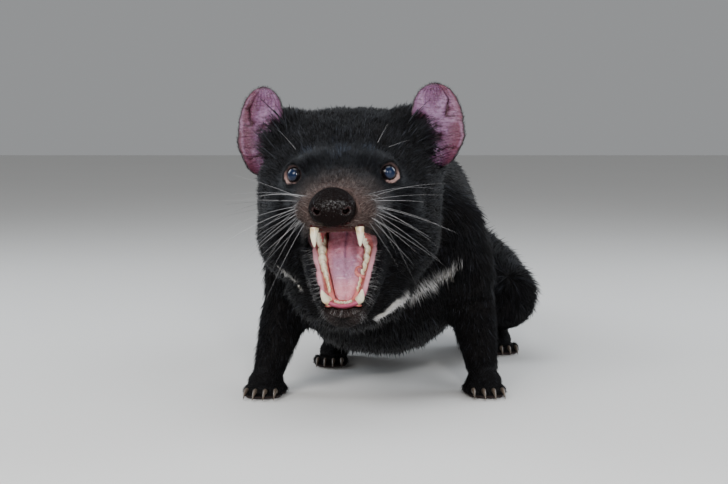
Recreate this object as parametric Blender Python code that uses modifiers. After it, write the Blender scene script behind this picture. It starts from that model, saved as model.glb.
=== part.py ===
# Tasmanian devil, life size, braced in a low crouch with its mouth wide open.
# Sizes are in millimetres, times MM. X runs to the animal's left, Y towards its tail, Z up.
# The stance is laid out with the floor at zero and the eyes above the X axis.
# At the end it is centred on its box.

import math

import bmesh
import bpy
from mathutils import Euler, Matrix, Vector

MM = 0.001
GAP = 0.3 * MM
SIDES = {"left": 1, "right": -1}

# Where the head is held
EYE_MIDPOINT = (-15.3, 0, 168)
HEAD_YAW = math.radians(-4.5)
HEAD_PITCH = math.radians(4)
HEAD_ROLL = math.radians(-1.6)
GAPE = math.radians(58)

# Sizes of the face, in the head's own frame: midway between the eyes at the origin, nose towards -Y
EYE_CENTRE = (30, 2, -0.8)
EYE_RADIUS = 7.6
EYE_TURN_OUT = math.radians(30)
EYE_TURN_UP = math.radians(6)
EYE_DIP = ((0, -12, 0), (10, 9, 8.5))
LID_RADIUS = 7.0
LID_HEIGHT_SHARE = 0.94
LID_SET_FORWARD = 4.4
LID_THICKNESS = 2.2

# Mouth: lips, and the hollow between the jaws as ellipsoids of centre and radii
MOUTH_SHIFT = 1.6
MOUTH_CORNER = (MOUTH_SHIFT, -2, -47)
LIP_HALF_WIDTH = 24.0
LOWER_LIP_LENGTH = 59.0
LOWER_LIP_FULLNESS = 2.2
LIP_THICKNESS = 2.8
UPPER_LIP = (
    (0, -56, -34),
    (9, -54.5, -33.5),
    (17, -48, -33),
    (21.5, -36, -35.5),
    (24, -20, -40),
    (25, -8, -45.5),
)
HEAD_HOLLOWS = (((MOUTH_SHIFT, 10, -54), (17, 30, 14)), ((MOUTH_SHIFT, -21, -41.5), (14, 31, 7)))
JAW_HOLLOWS = (((0, 20, 3), (16, 40, 10)), ((0, 0, 2), (19, 24, 10)))

# Nose pad: lumps that make it up, then what is cut into it, as centre, radii and turn
NOSE_MIDDLE = ((0, -59, -21.5), (11.5, 8.5, 12))
NOSE_LUMPS = (((7, -58.5, -25), (8, 8.2, 9.6), (0, 0, 12)), ((5, -56, -15.5), (7.5, 9, 6.5), (20, 0, 0)))
NOSTRILS = (
    ((9.4, -65.5, -26.5), (3, 5.5, 2.2), (0, 35, 20)),
    ((12.8, -62, -24.5), (2.6, 4.5, 1.7), (0, 20, 40)),
)
NOSE_GROOVE = ((0, -67.5, -33.5), (0.9, 4, 5))

# Teeth of one side, with their gum as the points of its middle line
UPPER_GUM = (
    (19.5, -7, -41.5),
    (18, -23, -39),
    (16, -36.5, -37.5),
    (13.2, -46.5, -36.5),
    (7.5, -51.5, -36),
    (0, -53, -36),
)
UPPER_GUM_RADIUS = 2.9
UPPER_CANINE = ((13.6, -48, -35), (14.2, -48.5, -49.7), 3.1)
UPPER_INCISORS = ((1.6, -53.6), (4.6, -53), (7.2, -51.9), (9.6, -50.3))
UPPER_CHEEK_TEETH = ((15.6, -39, 2.3), (16.4, -33.4, 2.7), (17.2, -27, 3), (18, -20, 3.1), (18.8, -13, 3))
LOWER_GUM = ((17.6, -4), (16.6, 7.5), (14.8, 19), (12.4, 32), (10.2, 43), (7.8, 50.5), (0, 54.8))
LOWER_GUM_RADIUS = 2.8
LOWER_CANINE = ((7.6, 50.5, -3), (11.4, 50, 13.5), 3.0)
LOWER_INCISORS = ((1.1, 56.4), (3.2, 56), (5.2, 54.9))
LOWER_CHEEK_TEETH = ((10.9, 41, 2.2), (12, 35, 2.5), (13.3, 28, 2.9), (14.6, 20, 3.1), (15.8, 11.7, 3.1))
TOOTH_PROFILE = ((0, 1), (0.35, 0.92), (0.7, 0.62), (1, 0.08))
TOOTH_SEAT_GROWTH = 1.2

# Tongue, along the lower jaw: distance, half width, half height, height of its middle
TONGUE_STATIONS = (
    (-15, 12, 4, -1),
    (0, 12.6, 4.6, -0.5),
    (15, 11, 4.6, -1),
    (30, 9.2, 4.2, -1.6),
    (41, 6.8, 3.4, -2.2),
    (46.5, 4.9, 2.6, -2.6),
    (49.5, 2.2, 1.4, -2.8),
)
TONGUE_GROOVE_DEPTH = 1.3
TONGUE_GROOVE_WIDTH = 1.6

# Ear, from the lobe at its root to its tip
EAR_LOBE = (66.5, 56, -1)
EAR_TIP = (60.5, 60, 64.5)
EAR_HALF_WIDTH = 18.5
EAR_THICKNESS = 2.0
EAR_CUP_DEPTH = 10.0
EAR_TURN_OUT = math.radians(14)

# Along the head: y, half width, top, bottom, squareness of the section
HEAD_STATIONS = (
    (-59, 15, -14, -35.5, 2.3),
    (-51, 21, -11, -36.5, 2.3),
    (-39, 25, -7, -38.5, 2.3),
    (-24, 28, 0, -42.5, 2.2),
    (-8, 34, 10, -50, 2.2),
    (10, 48, 22, -57, 2.3),
    (30, 60, 36, -66, 2.5),
    (52, 66, 46, -76, 2.7),
    (78, 66, 50, -84, 2.8),
    (100, 58, 46, -86, 2.6),
)

# Brows, cheeks, whisker pads and the roots of the ears: centre, radii and turn
HEAD_MASSES = (
    ((25, 4, 6), (15, 13, 7), (0, 24, 0)),
    ((33, 26, -22), (24, 28, 24), (0, 0, 20)),
    ((38, 44, -40), (28, 38, 36), (0, 0, 0)),
    ((14, -41, -24.5), (13.5, 18, 11), (0, 0, 12)),
    ((44, 68, 33), (20, 20, 18), (0, 0, 0)),
    ((55, 76, 18), (18, 15, 28), (0, 0, 0)),
)

# Along the lower jaw from behind the mouth corner to the chin: distance, half width, depth under the lip
JAW_STATIONS = (
    (-34, 46, 36),
    (-14, 38, 32),
    (4, 31, 28),
    (21, 27, 25),
    (36, 23.5, 22),
    (47, 19, 20),
    (55.5, 13.5, 17),
    (62, 5, 11),
)

# Along the body: x, y, top, bottom, half width
BODY_STATIONS = (
    (-12, 44, 198, 112, 44),
    (-8, 62, 205, 86, 56),
    (0, 92, 205, 46, 66),
    (8, 128, 201, 25, 70),
    (17, 178, 193, 20, 70),
    (28, 259, 183, 22, 66),
    (39, 331, 168, 30, 58),
    (48, 394, 145, 45, 45),
    (55, 448, 116, 66, 26),
)

# Along the tail: x, y, z, radius
TAIL_STATIONS = (
    (50, 410, 99, 28),
    (58, 462, 87, 23),
    (66, 507, 73, 19),
    (75, 562, 56, 15),
    (84, 617, 41, 10),
    (91, 662, 32, 5.5),
    (94, 680, 30, 2.5),
)

# Down the legs: x, y, z, radius
FORELEGS = {
    "left": (
        (56, 112, 120, 35),
        (70, 122, 94, 30),
        (79, 137, 68, 21.5),
        (84, 128, 44, 17.5),
        (88, 112, 20, 13.5),
    ),
    "right": (
        (-36, 112, 120, 35),
        (-48, 119, 94, 29),
        (-56, 130, 68, 21.5),
        (-63, 118, 44, 17.5),
        (-70, 106, 20, 13.5),
    ),
}
THIGHS = {
    "left": ((78, 381, 84, 33), (101, 329, 65, 33), (119, 277, 54, 27)),
    "right": ((10, 350, 84, 33), (-11, 290, 69, 32), (-27, 222, 54, 25)),
}
SHANKS = {
    "left": ((119, 275, 50, 25), (117, 317, 37, 18.5), (113, 360, 20, 12)),
    "right": ((-27, 219, 53, 22.5), (-25, 252, 38, 16.5), (-24, 290, 20, 12)),
}
# Feet: x and y of the middle of the sole, and the way it points in degrees
FOREFEET = {"left": (89, 97, 4), "right": (-73, 94, -6)}
HIND_FEET = {"left": (115, 332, 5), "right": (-25, 262, -4)}
FORE_TOES = ((-10.5, -12, 4.4), (-3.6, -16, 4.6), (3.6, -16, 4.6), (10.5, -12, 4.4))
HIND_TOES = ((-9.5, -29, 4.6), (-3.2, -33, 4.8), (3.2, -33, 4.8), (9.5, -29, 4.6))
FORE_PAW = ((0, 4, 10), (13.5, 16, 10.5))
FORE_THUMB = ((-12, 0, 5), (4.4, 8, 5), (0, 0, 30))
HIND_PAW = ((0, 6, 9), (12, 32, 10))
CLAW_REACH = 7
CLAW_RADIUS = 1.9
FORE_CLAW_LENGTH = 9.0
HIND_CLAW_LENGTH = 6.0
FLOOR_CUT = 0.8

# Places where the body is parted: a point and the direction the named part lies in
HEAD_CUT = ((0, 96, 190), (0, -0.84, 0.54))
NECK_CUT = ((0, 104, 150), (0, -0.72, 0.69))
RUMP_CUT = ((30, 262, 100), (0.18, 0.98, 0))
TAIL_CUT = ((54, 442, 90), (0.17, 0.97, -0.17))
JAW_WEDGE_HALF_WIDTH = 34.0
JAW_WEDGE_SLOPE = 0.45

# Remeshing and thinning of the flesh
COARSE_VOXEL = 2.5
VOXEL = 1.5
ZONE_TRIANGLES = {"face": 2100, "head": 900, "feet": 900, "body": 1500}
KEEP_WEIGHT = 1000
SLEEVE_ROOM = 5
SLEEVE_TRIANGLES = 180

SKIN_BLACK = (0.012, 0.011, 0.012, 1)
NOSE_BLACK = (0.02, 0.012, 0.012, 1)
EYE_BLACK = (0.006, 0.006, 0.008, 1)
EAR_PINK = (0.42, 0.17, 0.24, 1)
TONGUE_PINK = (0.66, 0.32, 0.38, 1)
IVORY = (0.80, 0.76, 0.62, 1)


def clear_scene():
    for obj in list(bpy.data.objects):
        bpy.data.objects.remove(obj)


def new_collection(name):
    made = bpy.data.collections.new(name)
    bpy.context.scene.collection.children.link(made)
    return made


def material(name, colour, roughness):
    made = bpy.data.materials.new(name)
    made.use_nodes = True
    shader = made.node_tree.nodes["Principled BSDF"]
    shader.inputs["Base Color"].default_value = colour
    shader.inputs["Roughness"].default_value = roughness
    shader.inputs["Metallic"].default_value = 0
    return made


def link_new(name, mesh, cutter=False):
    obj = bpy.data.objects.new(name, mesh)
    bpy.data.collections["cutters" if cutter else "tasmanian_devil"].objects.link(obj)
    if cutter:
        obj.hide_render = True
        obj.display_type = "WIRE"
    return obj


def object_from(name, bm, cutter=False):
    bmesh.ops.recalc_face_normals(bm, faces=bm.faces)
    mesh = bpy.data.meshes.new(name)
    bm.to_mesh(mesh)
    bm.free()
    return link_new(name, mesh, cutter)


def copy_of(obj, name, cutter=False):
    return link_new(name, obj.data.copy(), cutter)


def settle(obj):
    # Replaces an object's mesh by what its modifiers make of it.
    bpy.context.view_layer.update()
    graph = bpy.context.evaluated_depsgraph_get()
    mesh = bpy.data.meshes.new_from_object(obj.evaluated_get(graph))
    old = obj.data
    obj.modifiers.clear()
    obj.data = mesh
    bpy.data.meshes.remove(old)
    return obj


def boolean(obj, cutter, operation, solver="EXACT"):
    step = obj.modifiers.new(operation.lower(), "BOOLEAN")
    step.object = cutter
    step.operation = operation
    step.solver = solver
    return settle(obj)


def fuse(obj, voxel, rounds):
    remesh = obj.modifiers.new("fuse", "REMESH")
    remesh.mode = "VOXEL"
    remesh.voxel_size = voxel * MM
    smooth = obj.modifiers.new("soften", "SMOOTH")
    smooth.factor = 0.5
    smooth.iterations = rounds
    return settle(obj)


def triangles_in(obj):
    return sum(len(face.vertices) - 2 for face in obj.data.polygons)


def thin(obj, triangles, keep=None):
    # keep names the vertex group whose triangles are left as they are.
    step = obj.modifiers.new("thin", "DECIMATE")
    step.ratio = triangles / triangles_in(obj)
    step.use_collapse_triangulate = True
    if keep:
        step.vertex_group = keep
        step.invert_vertex_group = True
        step.vertex_group_factor = KEEP_WEIGHT
    return settle(obj)


def grown(obj, name, gap):
    copy = copy_of(obj, name, cutter=True)
    step = copy.modifiers.new("grow", "DISPLACE")
    step.strength = gap
    step.mid_level = 0
    return settle(copy)


def keep_largest(obj):
    bm = bmesh.new()
    bm.from_mesh(obj.data)
    left = set(bm.verts)
    islands = []
    while left:
        island, front = set(), [left.pop()]
        while front:
            vert = front.pop()
            island.add(vert)
            for edge in vert.link_edges:
                other = edge.other_vert(vert)
                if other in left:
                    left.remove(other)
                    front.append(other)
        islands.append(island)
    islands.sort(key=len)
    for island in islands[:-1]:
        bmesh.ops.delete(bm, geom=list(island), context="VERTS")
    bm.to_mesh(obj.data)
    bm.free()


def place(point, frame=None):
    spot = Vector(point) * MM
    return frame @ spot if frame else spot


def ellipsoid(bm, centre, radii, turn=(0, 0, 0), frame=None, segments=20):
    # turn is in degrees about X, Y and Z
    rotation = Euler([math.radians(a) for a in turn]).to_matrix().to_4x4()
    matrix = Matrix.Translation(Vector(centre) * MM) @ rotation @ Matrix.Diagonal((*(Vector(radii) * MM), 1))
    if frame:
        matrix = frame @ matrix
    rows = max(6, segments * 2 // 3)
    bmesh.ops.create_uvsphere(bm, u_segments=segments, v_segments=rows, radius=1, matrix=matrix)


def mirrored_ellipsoids(bm, centre, radii, turn=(0, 0, 0), frame=None, segments=20):
    for side in SIDES.values():
        x, y, z = centre
        pitch, roll, yaw = turn
        ellipsoid(bm, (side * x, y, z), radii, (pitch, side * roll, side * yaw), frame, segments)


def flowing(stations, steps):
    # Catmull-Rom curve through rows of numbers, with steps rows for each stretch.
    rows = []
    last = len(stations) - 1
    for i in range(last):
        before, start, end, after = (stations[min(max(i + k, 0), last)] for k in (-1, 0, 1, 2))
        for j in range(steps):
            t = j / steps
            row = []
            for p, q, r, s in zip(before, start, end, after):
                bend = (2 * p - 5 * q + 4 * r - s) * t**2 + (3 * q - p - 3 * r + s) * t**3
                row.append(0.5 * (2 * q + (r - p) * t + bend))
            rows.append(tuple(row))
    rows.append(tuple(stations[-1]))
    return rows


def loft(bm, rings):
    # Closed skin over rings of equal length, capped at both ends.
    rows = [[bm.verts.new(point) for point in ring] for ring in rings]
    count = len(rows[0])
    for lower, upper in zip(rows, rows[1:]):
        for k in range(count):
            bm.faces.new((lower[k], lower[(k + 1) % count], upper[(k + 1) % count], upper[k]))
    bm.faces.new(rows[0][::-1])
    bm.faces.new(rows[-1])


def oval(half_width, half_height, power=2.0, count=28):
    points = []
    for k in range(count):
        c, s = math.cos(2 * math.pi * k / count), math.sin(2 * math.pi * k / count)
        x = half_width * math.copysign(abs(c) ** (2 / power), c)
        y = half_height * math.copysign(abs(s) ** (2 / power), s)
        points.append((x, y))
    return points


def tube(bm, stations, frame=None, count=18, steps=4):
    # Limb with rounded ends through stations of x, y, z and radius.
    rows = [(Vector(row[:3]), row[3]) for row in flowing(stations, steps)]
    (first, first_radius), (last, last_radius) = rows[0], rows[-1]
    start = (first - rows[1][0]).normalized()
    end = (last - rows[-2][0]).normalized()
    angles = [math.radians(a) for a in (80, 55, 28)]
    head = [(first + start * first_radius * math.sin(a), first_radius * math.cos(a)) for a in angles]
    foot = [(last + end * last_radius * math.sin(a), last_radius * math.cos(a)) for a in angles[::-1]]
    rows = head + rows + foot
    rings = []
    side = (rows[1][0] - rows[0][0]).orthogonal().normalized()
    for i, (centre, radius) in enumerate(rows):
        along = (rows[min(i + 1, len(rows) - 1)][0] - rows[max(i - 1, 0)][0]).normalized()
        side = (side - along * side.dot(along)).normalized()
        up = along.cross(side)
        rings.append([place(centre + side * x + up * y, frame) for x, y in oval(radius, radius, 2, count)])
    loft(bm, rings)


def head_frame():
    yaw_and_pitch = Matrix.Rotation(HEAD_YAW, 4, "Z") @ Matrix.Rotation(-HEAD_PITCH, 4, "X")
    return Matrix.Translation(Vector(EYE_MIDPOINT) * MM) @ yaw_and_pitch @ Matrix.Rotation(HEAD_ROLL, 4, "Y")


def jaw_frame():
    # Y runs along the open jaw to its tip, Z out of the floor of the mouth.
    along = Vector((0, -math.cos(GAPE), -math.sin(GAPE)))
    out = Vector((0, -math.sin(GAPE), math.cos(GAPE)))
    turn = Matrix((along.cross(out), along, out)).transposed().to_4x4()
    return head_frame() @ Matrix.Translation(Vector(MOUTH_CORNER) * MM) @ turn


def eye_frame(side):
    turn = Matrix.Rotation(side * EYE_TURN_OUT, 4, "Z") @ Matrix.Rotation(-EYE_TURN_UP, 4, "X")
    x, y, z = EYE_CENTRE
    return head_frame() @ Matrix.Translation(Vector((side * x, y, z)) * MM) @ turn


def foot_frame(foot):
    x, y, turn = foot
    return Matrix.Translation(Vector((x, y, -FLOOR_CUT)) * MM) @ Matrix.Rotation(math.radians(turn), 4, "Z")


def add_head(bm):
    head, jaw = head_frame(), jaw_frame()
    rings = []
    for y, half_width, top, bottom, power in flowing(HEAD_STATIONS, 3):
        middle, half_height = (top + bottom) / 2, (top - bottom) / 2
        rings.append([place((x, y, middle + z), head) for x, z in oval(half_width, half_height, power)])
    loft(bm, rings)
    rings = []
    for along, half_width, depth in flowing(JAW_STATIONS, 3):
        rings.append([place((x, along, z - depth / 2 - 1), jaw) for x, z in oval(half_width, depth / 2, 2.3)])
    loft(bm, rings)
    for centre, radii, turn in HEAD_MASSES:
        mirrored_ellipsoids(bm, centre, radii, turn, head)
    ellipsoid(bm, (0, 58, -76), (48, 50, 32), (24, 0, 0), head)


def lip_points(side):
    # Centre line of the lips from under the nose, back to the corner of the mouth and on to the chin.
    head, jaw = head_frame(), jaw_frame()
    points = [place((side * x + MOUTH_SHIFT, y, z), head) for x, y, z in UPPER_LIP]
    steps = 9
    for i in range(1, steps + 1):
        share = i / steps
        across = LIP_HALF_WIDTH * math.sqrt(max(0.0, 1 - share**LOWER_LIP_FULLNESS))
        points.append(place((-side * across, share * LOWER_LIP_LENGTH, 0), jaw))
    return [tuple(point / MM) for point in points]


def add_lips(bm):
    for side in SIDES.values():
        tube(bm, [(*point, LIP_THICKNESS) for point in lip_points(side)], count=12, steps=2)


def add_lids(bm):
    for side in SIDES.values():
        ring = []
        points = 18
        for k in range(points + 1):
            angle = 2 * math.pi * k / points
            x, z = LID_RADIUS * math.cos(angle), LID_HEIGHT_SHARE * LID_RADIUS * math.sin(angle)
            ring.append((x, -LID_SET_FORWARD, z, LID_THICKNESS))
        tube(bm, ring, eye_frame(side), count=10, steps=1)


def add_body(bm):
    rings = []
    for x, y, top, bottom, half_width in flowing(BODY_STATIONS, 4):
        middle, half_height = (top + bottom) / 2, (top - bottom) / 2
        rings.append([place((x + across, y, middle + up)) for across, up in oval(half_width, half_height, 2.3)])
    loft(bm, rings)
    tube(bm, TAIL_STATIONS)
    for side in SIDES:
        tube(bm, FORELEGS[side])
        tube(bm, THIGHS[side])
        tube(bm, SHANKS[side])


def add_feet(bm):
    for side, sign in SIDES.items():
        frame = foot_frame(FOREFEET[side])
        ellipsoid(bm, *FORE_PAW, frame=frame)
        (x, y, z), radii, turn = FORE_THUMB
        ellipsoid(bm, (sign * x, y, z), radii, (0, 0, sign * turn[2]), frame)
        for x, y, radius in FORE_TOES:
            ellipsoid(bm, (x, y, radius + 0.4), (radius, 9.5, radius + 0.9), (8, 0, -1.5 * x), frame)
        frame = foot_frame(HIND_FEET[side])
        ellipsoid(bm, *HIND_PAW, frame=frame)
        for x, y, radius in HIND_TOES:
            ellipsoid(bm, (x, y, radius + 0.4), (radius, 10, radius + 1), (8, 0, -1.5 * x), frame)


def carve_face(flesh):
    # Opens the mouth and lets the eyes in.
    head, jaw = head_frame(), jaw_frame()
    bm = bmesh.new()
    for frame, hollows in ((head, HEAD_HOLLOWS), (jaw, JAW_HOLLOWS)):
        for centre, radii in hollows:
            ellipsoid(bm, centre, radii, frame=frame)
    for side in SIDES.values():
        ellipsoid(bm, *EYE_DIP, frame=eye_frame(side))
    hollow = object_from("face_hollows", bm, cutter=True)
    fuse(hollow, 1.0, 4)
    # The flesh is still dense here, and EXACT takes minutes over it.
    boolean(flesh, hollow, "DIFFERENCE", "MANIFOLD")


def zone_of(point):
    # The face, the rest of the head, the feet or the body.
    x, y, z = (head_frame().inverted() @ point) / MM
    if y < 20 and z < 30 and point.y < 30 * MM:
        return "face"
    if y < 95 and z > -55:
        return "head"
    return "feet" if point.z < 22 * MM and point.y < 0.42 else "body"


def thin_by_zone(flesh):
    for zone in ("body", "feet", "head", "face"):
        zones = [zone_of(vert.co) for vert in flesh.data.vertices]
        inside = 0
        for face in flesh.data.polygons:
            corners = len(face.vertices)
            inside += sum(zones[v] == zone for v in face.vertices) / corners * (corners - 2)
        group = flesh.vertex_groups.new(name="keep")
        group.add([i for i, value in enumerate(zones) if value != zone], 1.0, "REPLACE")
        before = triangles_in(flesh)
        thin(flesh, before - inside + ZONE_TRIANGLES[zone], group.name)
        flesh.vertex_groups.clear()
        print("thinned", zone, "from", round(inside), "to", round(triangles_in(flesh) - before + inside))


def make_flesh():
    bm = bmesh.new()
    add_head(bm)
    add_body(bm)
    flesh = object_from("flesh", bm)
    fuse(flesh, COARSE_VOXEL, 16)
    carve_face(flesh)
    bm = bmesh.new()
    bm.from_mesh(flesh.data)
    add_lips(bm)
    add_lids(bm)
    add_feet(bm)
    bm.to_mesh(flesh.data)
    bm.free()
    fuse(flesh, VOXEL, 4)
    thin_by_zone(flesh)
    return flesh


def make_nose():
    head = head_frame()
    bm = bmesh.new()
    ellipsoid(bm, *NOSE_MIDDLE, frame=head)
    for centre, radii, turn in NOSE_LUMPS:
        mirrored_ellipsoids(bm, centre, radii, turn, head)
    nose = object_from("nose", bm)
    fuse(nose, 1.0, 8)
    thin(nose, 380)
    return nose


def carve_nostrils(nose):
    head = head_frame()
    bm = bmesh.new()
    for centre, radii, turn in NOSTRILS:
        mirrored_ellipsoids(bm, centre, radii, turn, head, 12)
    ellipsoid(bm, *NOSE_GROOVE, frame=head, segments=12)
    cutter = object_from("nostrils", bm, cutter=True)
    fuse(cutter, 0.5, 2)
    thin(cutter, 180)
    boolean(nose, cutter, "DIFFERENCE")
    keep_largest(nose)


def make_eye(side):
    bm = bmesh.new()
    ellipsoid(bm, (0, 0, 0), [EYE_RADIUS] * 3, frame=eye_frame(SIDES[side]), segments=14)
    return object_from("eye_" + side, bm)


def tooth(bm, base, tip, radius, frame, bend=(0, 0, 0), count=10):
    # Pointed tooth from its root to its tip, bent by moving its middle.
    base, tip, bend = Vector(base), Vector(tip), Vector(bend)
    axis = (tip - base).normalized()
    side = axis.orthogonal().normalized()
    up = axis.cross(side)
    rings = []
    for share, size in TOOTH_PROFILE:
        centre = base.lerp(tip, share) + bend * math.sin(math.pi * share)
        outline = oval(radius * size, radius * size, 2, count)
        rings.append([place(centre + side * x + up * y, frame) for x, y in outline])
    loft(bm, rings)


def upper_row(bm, grow):
    # Gum and teeth of the upper jaw, all wider by grow.
    frame = head_frame() @ Matrix.Translation(Vector((MOUTH_SHIFT, 0, 0)) * MM)
    row = list(UPPER_GUM) + [(-x, y, z) for x, y, z in UPPER_GUM[-2::-1]]
    tube(bm, [(*point, UPPER_GUM_RADIUS + grow) for point in row], frame, count=12, steps=2)
    root, tip, radius = UPPER_CANINE
    for side in SIDES.values():
        start, end = (side * root[0], *root[1:]), (side * tip[0], tip[1], tip[2] - grow)
        tooth(bm, start, end, radius + grow, frame, (side * 0.6, -1.4, 0))
        for x, y in UPPER_INCISORS:
            tooth(bm, (side * x, y, -36), (side * x, y - 0.8, -41.1 - grow), 1.5 + grow, frame)
        for x, y, size in UPPER_CHEEK_TEETH:
            z = -37 - (y + 39) * 0.1
            tooth(bm, (side * x, y, z), (side * (x - 0.4), y, z - 3.6 - size - grow), size + grow, frame)


def lower_row(bm, grow):
    # Gum and teeth of the lower jaw, all wider by grow.
    frame = jaw_frame()
    row = list(LOWER_GUM) + [(-x, y) for x, y in LOWER_GUM[-2::-1]]
    tube(bm, [(x, y, -2.6, LOWER_GUM_RADIUS + grow) for x, y in row], frame, count=12, steps=2)
    root, tip, radius = LOWER_CANINE
    for side in SIDES.values():
        start, end = (side * root[0], *root[1:]), (side * tip[0], tip[1], tip[2] + grow)
        tooth(bm, start, end, radius + grow, frame, (side * 0.4, 1.2, 0))
        for x, y in LOWER_INCISORS:
            tooth(bm, (side * x, y - 1, -2), (side * x, y, 3.6 + grow), 1.3 + grow, frame)
        for x, y, size in LOWER_CHEEK_TEETH:
            tooth(bm, (side * x, y, -2), (side * (x - 0.3), y, 3.0 + size + grow), size + grow, frame)


def make_teeth(name, row):
    # Makes a gum with its teeth and a roomier cutter for where they sit.
    made = []
    for label, grow, voxel, triangles in ((name, 0, 0.7, 700), (name + "_seat", TOOTH_SEAT_GROWTH, 1.0, 300)):
        bm = bmesh.new()
        row(bm, grow)
        obj = object_from(label, bm, cutter=grow > 0)
        fuse(obj, voxel, 2)
        thin(obj, triangles)
        made.append(obj)
    return made


def make_tongue():
    jaw = jaw_frame()
    bm = bmesh.new()
    rings = []
    for along, half_width, half_height, middle in flowing(TONGUE_STATIONS, 3):
        ring = []
        for x, z in oval(half_width, half_height, 2.2, 24):
            groove = TONGUE_GROOVE_DEPTH * math.exp(-((x / TONGUE_GROOVE_WIDTH) ** 2)) if z > 0 else 0
            ring.append(place((x, along, middle + z - groove), jaw))
        rings.append(ring)
    loft(bm, rings)
    tongue = object_from("tongue", bm)
    fuse(tongue, 0.8, 3)
    thin(tongue, 360)
    return tongue


def make_ear(side):
    sign = SIDES[side]
    lobe = Vector((sign * EAR_LOBE[0], *EAR_LOBE[1:]))
    tip = Vector((sign * EAR_TIP[0], *EAR_TIP[1:]))
    up = (tip - lobe).normalized()
    height = (tip - lobe).length
    front = Matrix.Rotation(sign * EAR_TURN_OUT, 3, "Z") @ Vector((0, -1, 0))
    front = (front - up * front.dot(up)).normalized()
    across = front.cross(up) * -sign
    bm = bmesh.new()
    rows = []
    columns, levels = 8, 10
    for j in range(levels + 1):
        share = 0.03 + 0.955 * j / levels
        half = EAR_HALF_WIDTH * (1 - abs(2 * share**0.9 - 1) ** 2.6) ** 0.5
        cup = EAR_CUP_DEPTH * (1 - 0.75 * share)
        row = []
        for i in range(columns + 1):
            u = 2 * i / columns - 1
            back = cup * (1 - u * u) - 3 * share * (1 - abs(u))
            point = lobe + up * height * share + across * half * u - front * back
            row.append(bm.verts.new(place(point, head_frame())))
        rows.append(row)
    for lower, upper in zip(rows, rows[1:]):
        for i in range(columns):
            bm.faces.new((lower[i], lower[i + 1], upper[i + 1], upper[i]))
    ear = object_from("ear_" + side, bm)
    shell = ear.modifiers.new("shell", "SOLIDIFY")
    shell.thickness = EAR_THICKNESS * MM
    shell.offset = 0
    return settle(ear)


def half_space(name, point, normal):
    bm = bmesh.new()
    normal = Vector(normal).normalized()
    turn = normal.to_track_quat("Z", "Y").to_matrix().to_4x4()
    reach = 0.8
    matrix = Matrix.Translation(point + normal * reach / 2) @ turn
    bmesh.ops.create_cube(bm, size=reach, matrix=matrix)
    return object_from(name, bm, cutter=True)


def part_off(obj, name, point, normal):
    # Takes what lies on the normal's side of a plane off an object as a part of its own, a thin gap away.
    point, normal = Vector(point) * MM, Vector(normal).normalized()
    piece = copy_of(obj, name)
    boolean(piece, half_space(name + "_side", point + normal * GAP / 2, normal), "INTERSECT")
    boolean(obj, half_space(name + "_rest", point - normal * GAP / 2, -normal), "INTERSECT")
    return piece


def part_limb(flesh, name, *limbs):
    # Takes a leg off the body inside a sleeve a little wider than its flesh.
    bm = bmesh.new()
    for stations in limbs:
        tube(bm, [(x, y, z, radius + SLEEVE_ROOM) for x, y, z, radius in stations], count=14, steps=2)
    sleeve = object_from(name + "_sleeve", bm, cutter=True)
    fuse(sleeve, 3.0, 4)
    thin(sleeve, SLEEVE_TRIANGLES)
    piece = copy_of(flesh, name)
    boolean(piece, sleeve, "INTERSECT")
    boolean(flesh, grown(sleeve, name + "_socket", GAP * 1.3), "DIFFERENCE")
    return piece


def foot_sleeve(foot, length):
    # Runs along a foot from behind its heel to beyond its toes.
    frame = foot_frame(foot)
    ends = [frame @ (Vector((0, y, 9)) * MM) / MM for y in (length * 0.7, -length)]
    return [(*end, 22) for end in ends]


def seat(flesh, piece):
    # Leaves room in the flesh for a piece that is set in it.
    boolean(flesh, grown(piece, piece.name + "_seat", GAP), "DIFFERENCE")


def add_claws(foot, frame, toes, length):
    bm = bmesh.new()
    for x, y, radius in toes:
        base = Vector((x, y - CLAW_REACH, radius + 1.2))
        tip = base + Vector((x * 0.06, -length - 3, -radius + 1.2))
        tooth(bm, base, tip, CLAW_RADIUS, frame, (0, 0, 1.2), 6)
    claws = object_from(foot.name + "_claws", bm, cutter=True)
    boolean(foot, claws, "UNION")


def part_legs(flesh):
    for side, sign in SIDES.items():
        name = "upper_arm_" + side
        arm = part_limb(flesh, name, FORELEGS[side], foot_sleeve(FOREFEET[side], 20))
        elbow, wrist = Vector(FORELEGS[side][2][:3]), Vector(FORELEGS[side][4][:3])
        forearm = part_off(arm, "forearm_" + side, elbow, (sign * 0.1, -0.25, -0.96))
        forefoot = part_off(forearm, "forefoot_" + side, wrist + Vector((0, 0, 2)), (0, -0.3, -0.95))
        add_claws(forefoot, foot_frame(FOREFEET[side]), FORE_TOES, FORE_CLAW_LENGTH)
        sole = foot_sleeve(HIND_FEET[side], 38)
        thigh = part_limb(flesh, "thigh_" + side, THIGHS[side], SHANKS[side], sole)
        knee = Vector(SHANKS[side][0][:3])
        shank = part_off(thigh, "shank_" + side, knee - Vector((0, 0, 1)), (0, 0.05, -1))
        ankle = Vector(SHANKS[side][2][:3])
        hindfoot = part_off(shank, "hindfoot_" + side, ankle + Vector((0, 0, 1)), (0, -0.12, -1))
        add_claws(hindfoot, foot_frame(HIND_FEET[side]), HIND_TOES, HIND_CLAW_LENGTH)
        for obj in (arm, forearm, forefoot, thigh, shank, hindfoot):
            keep_largest(obj)


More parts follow.
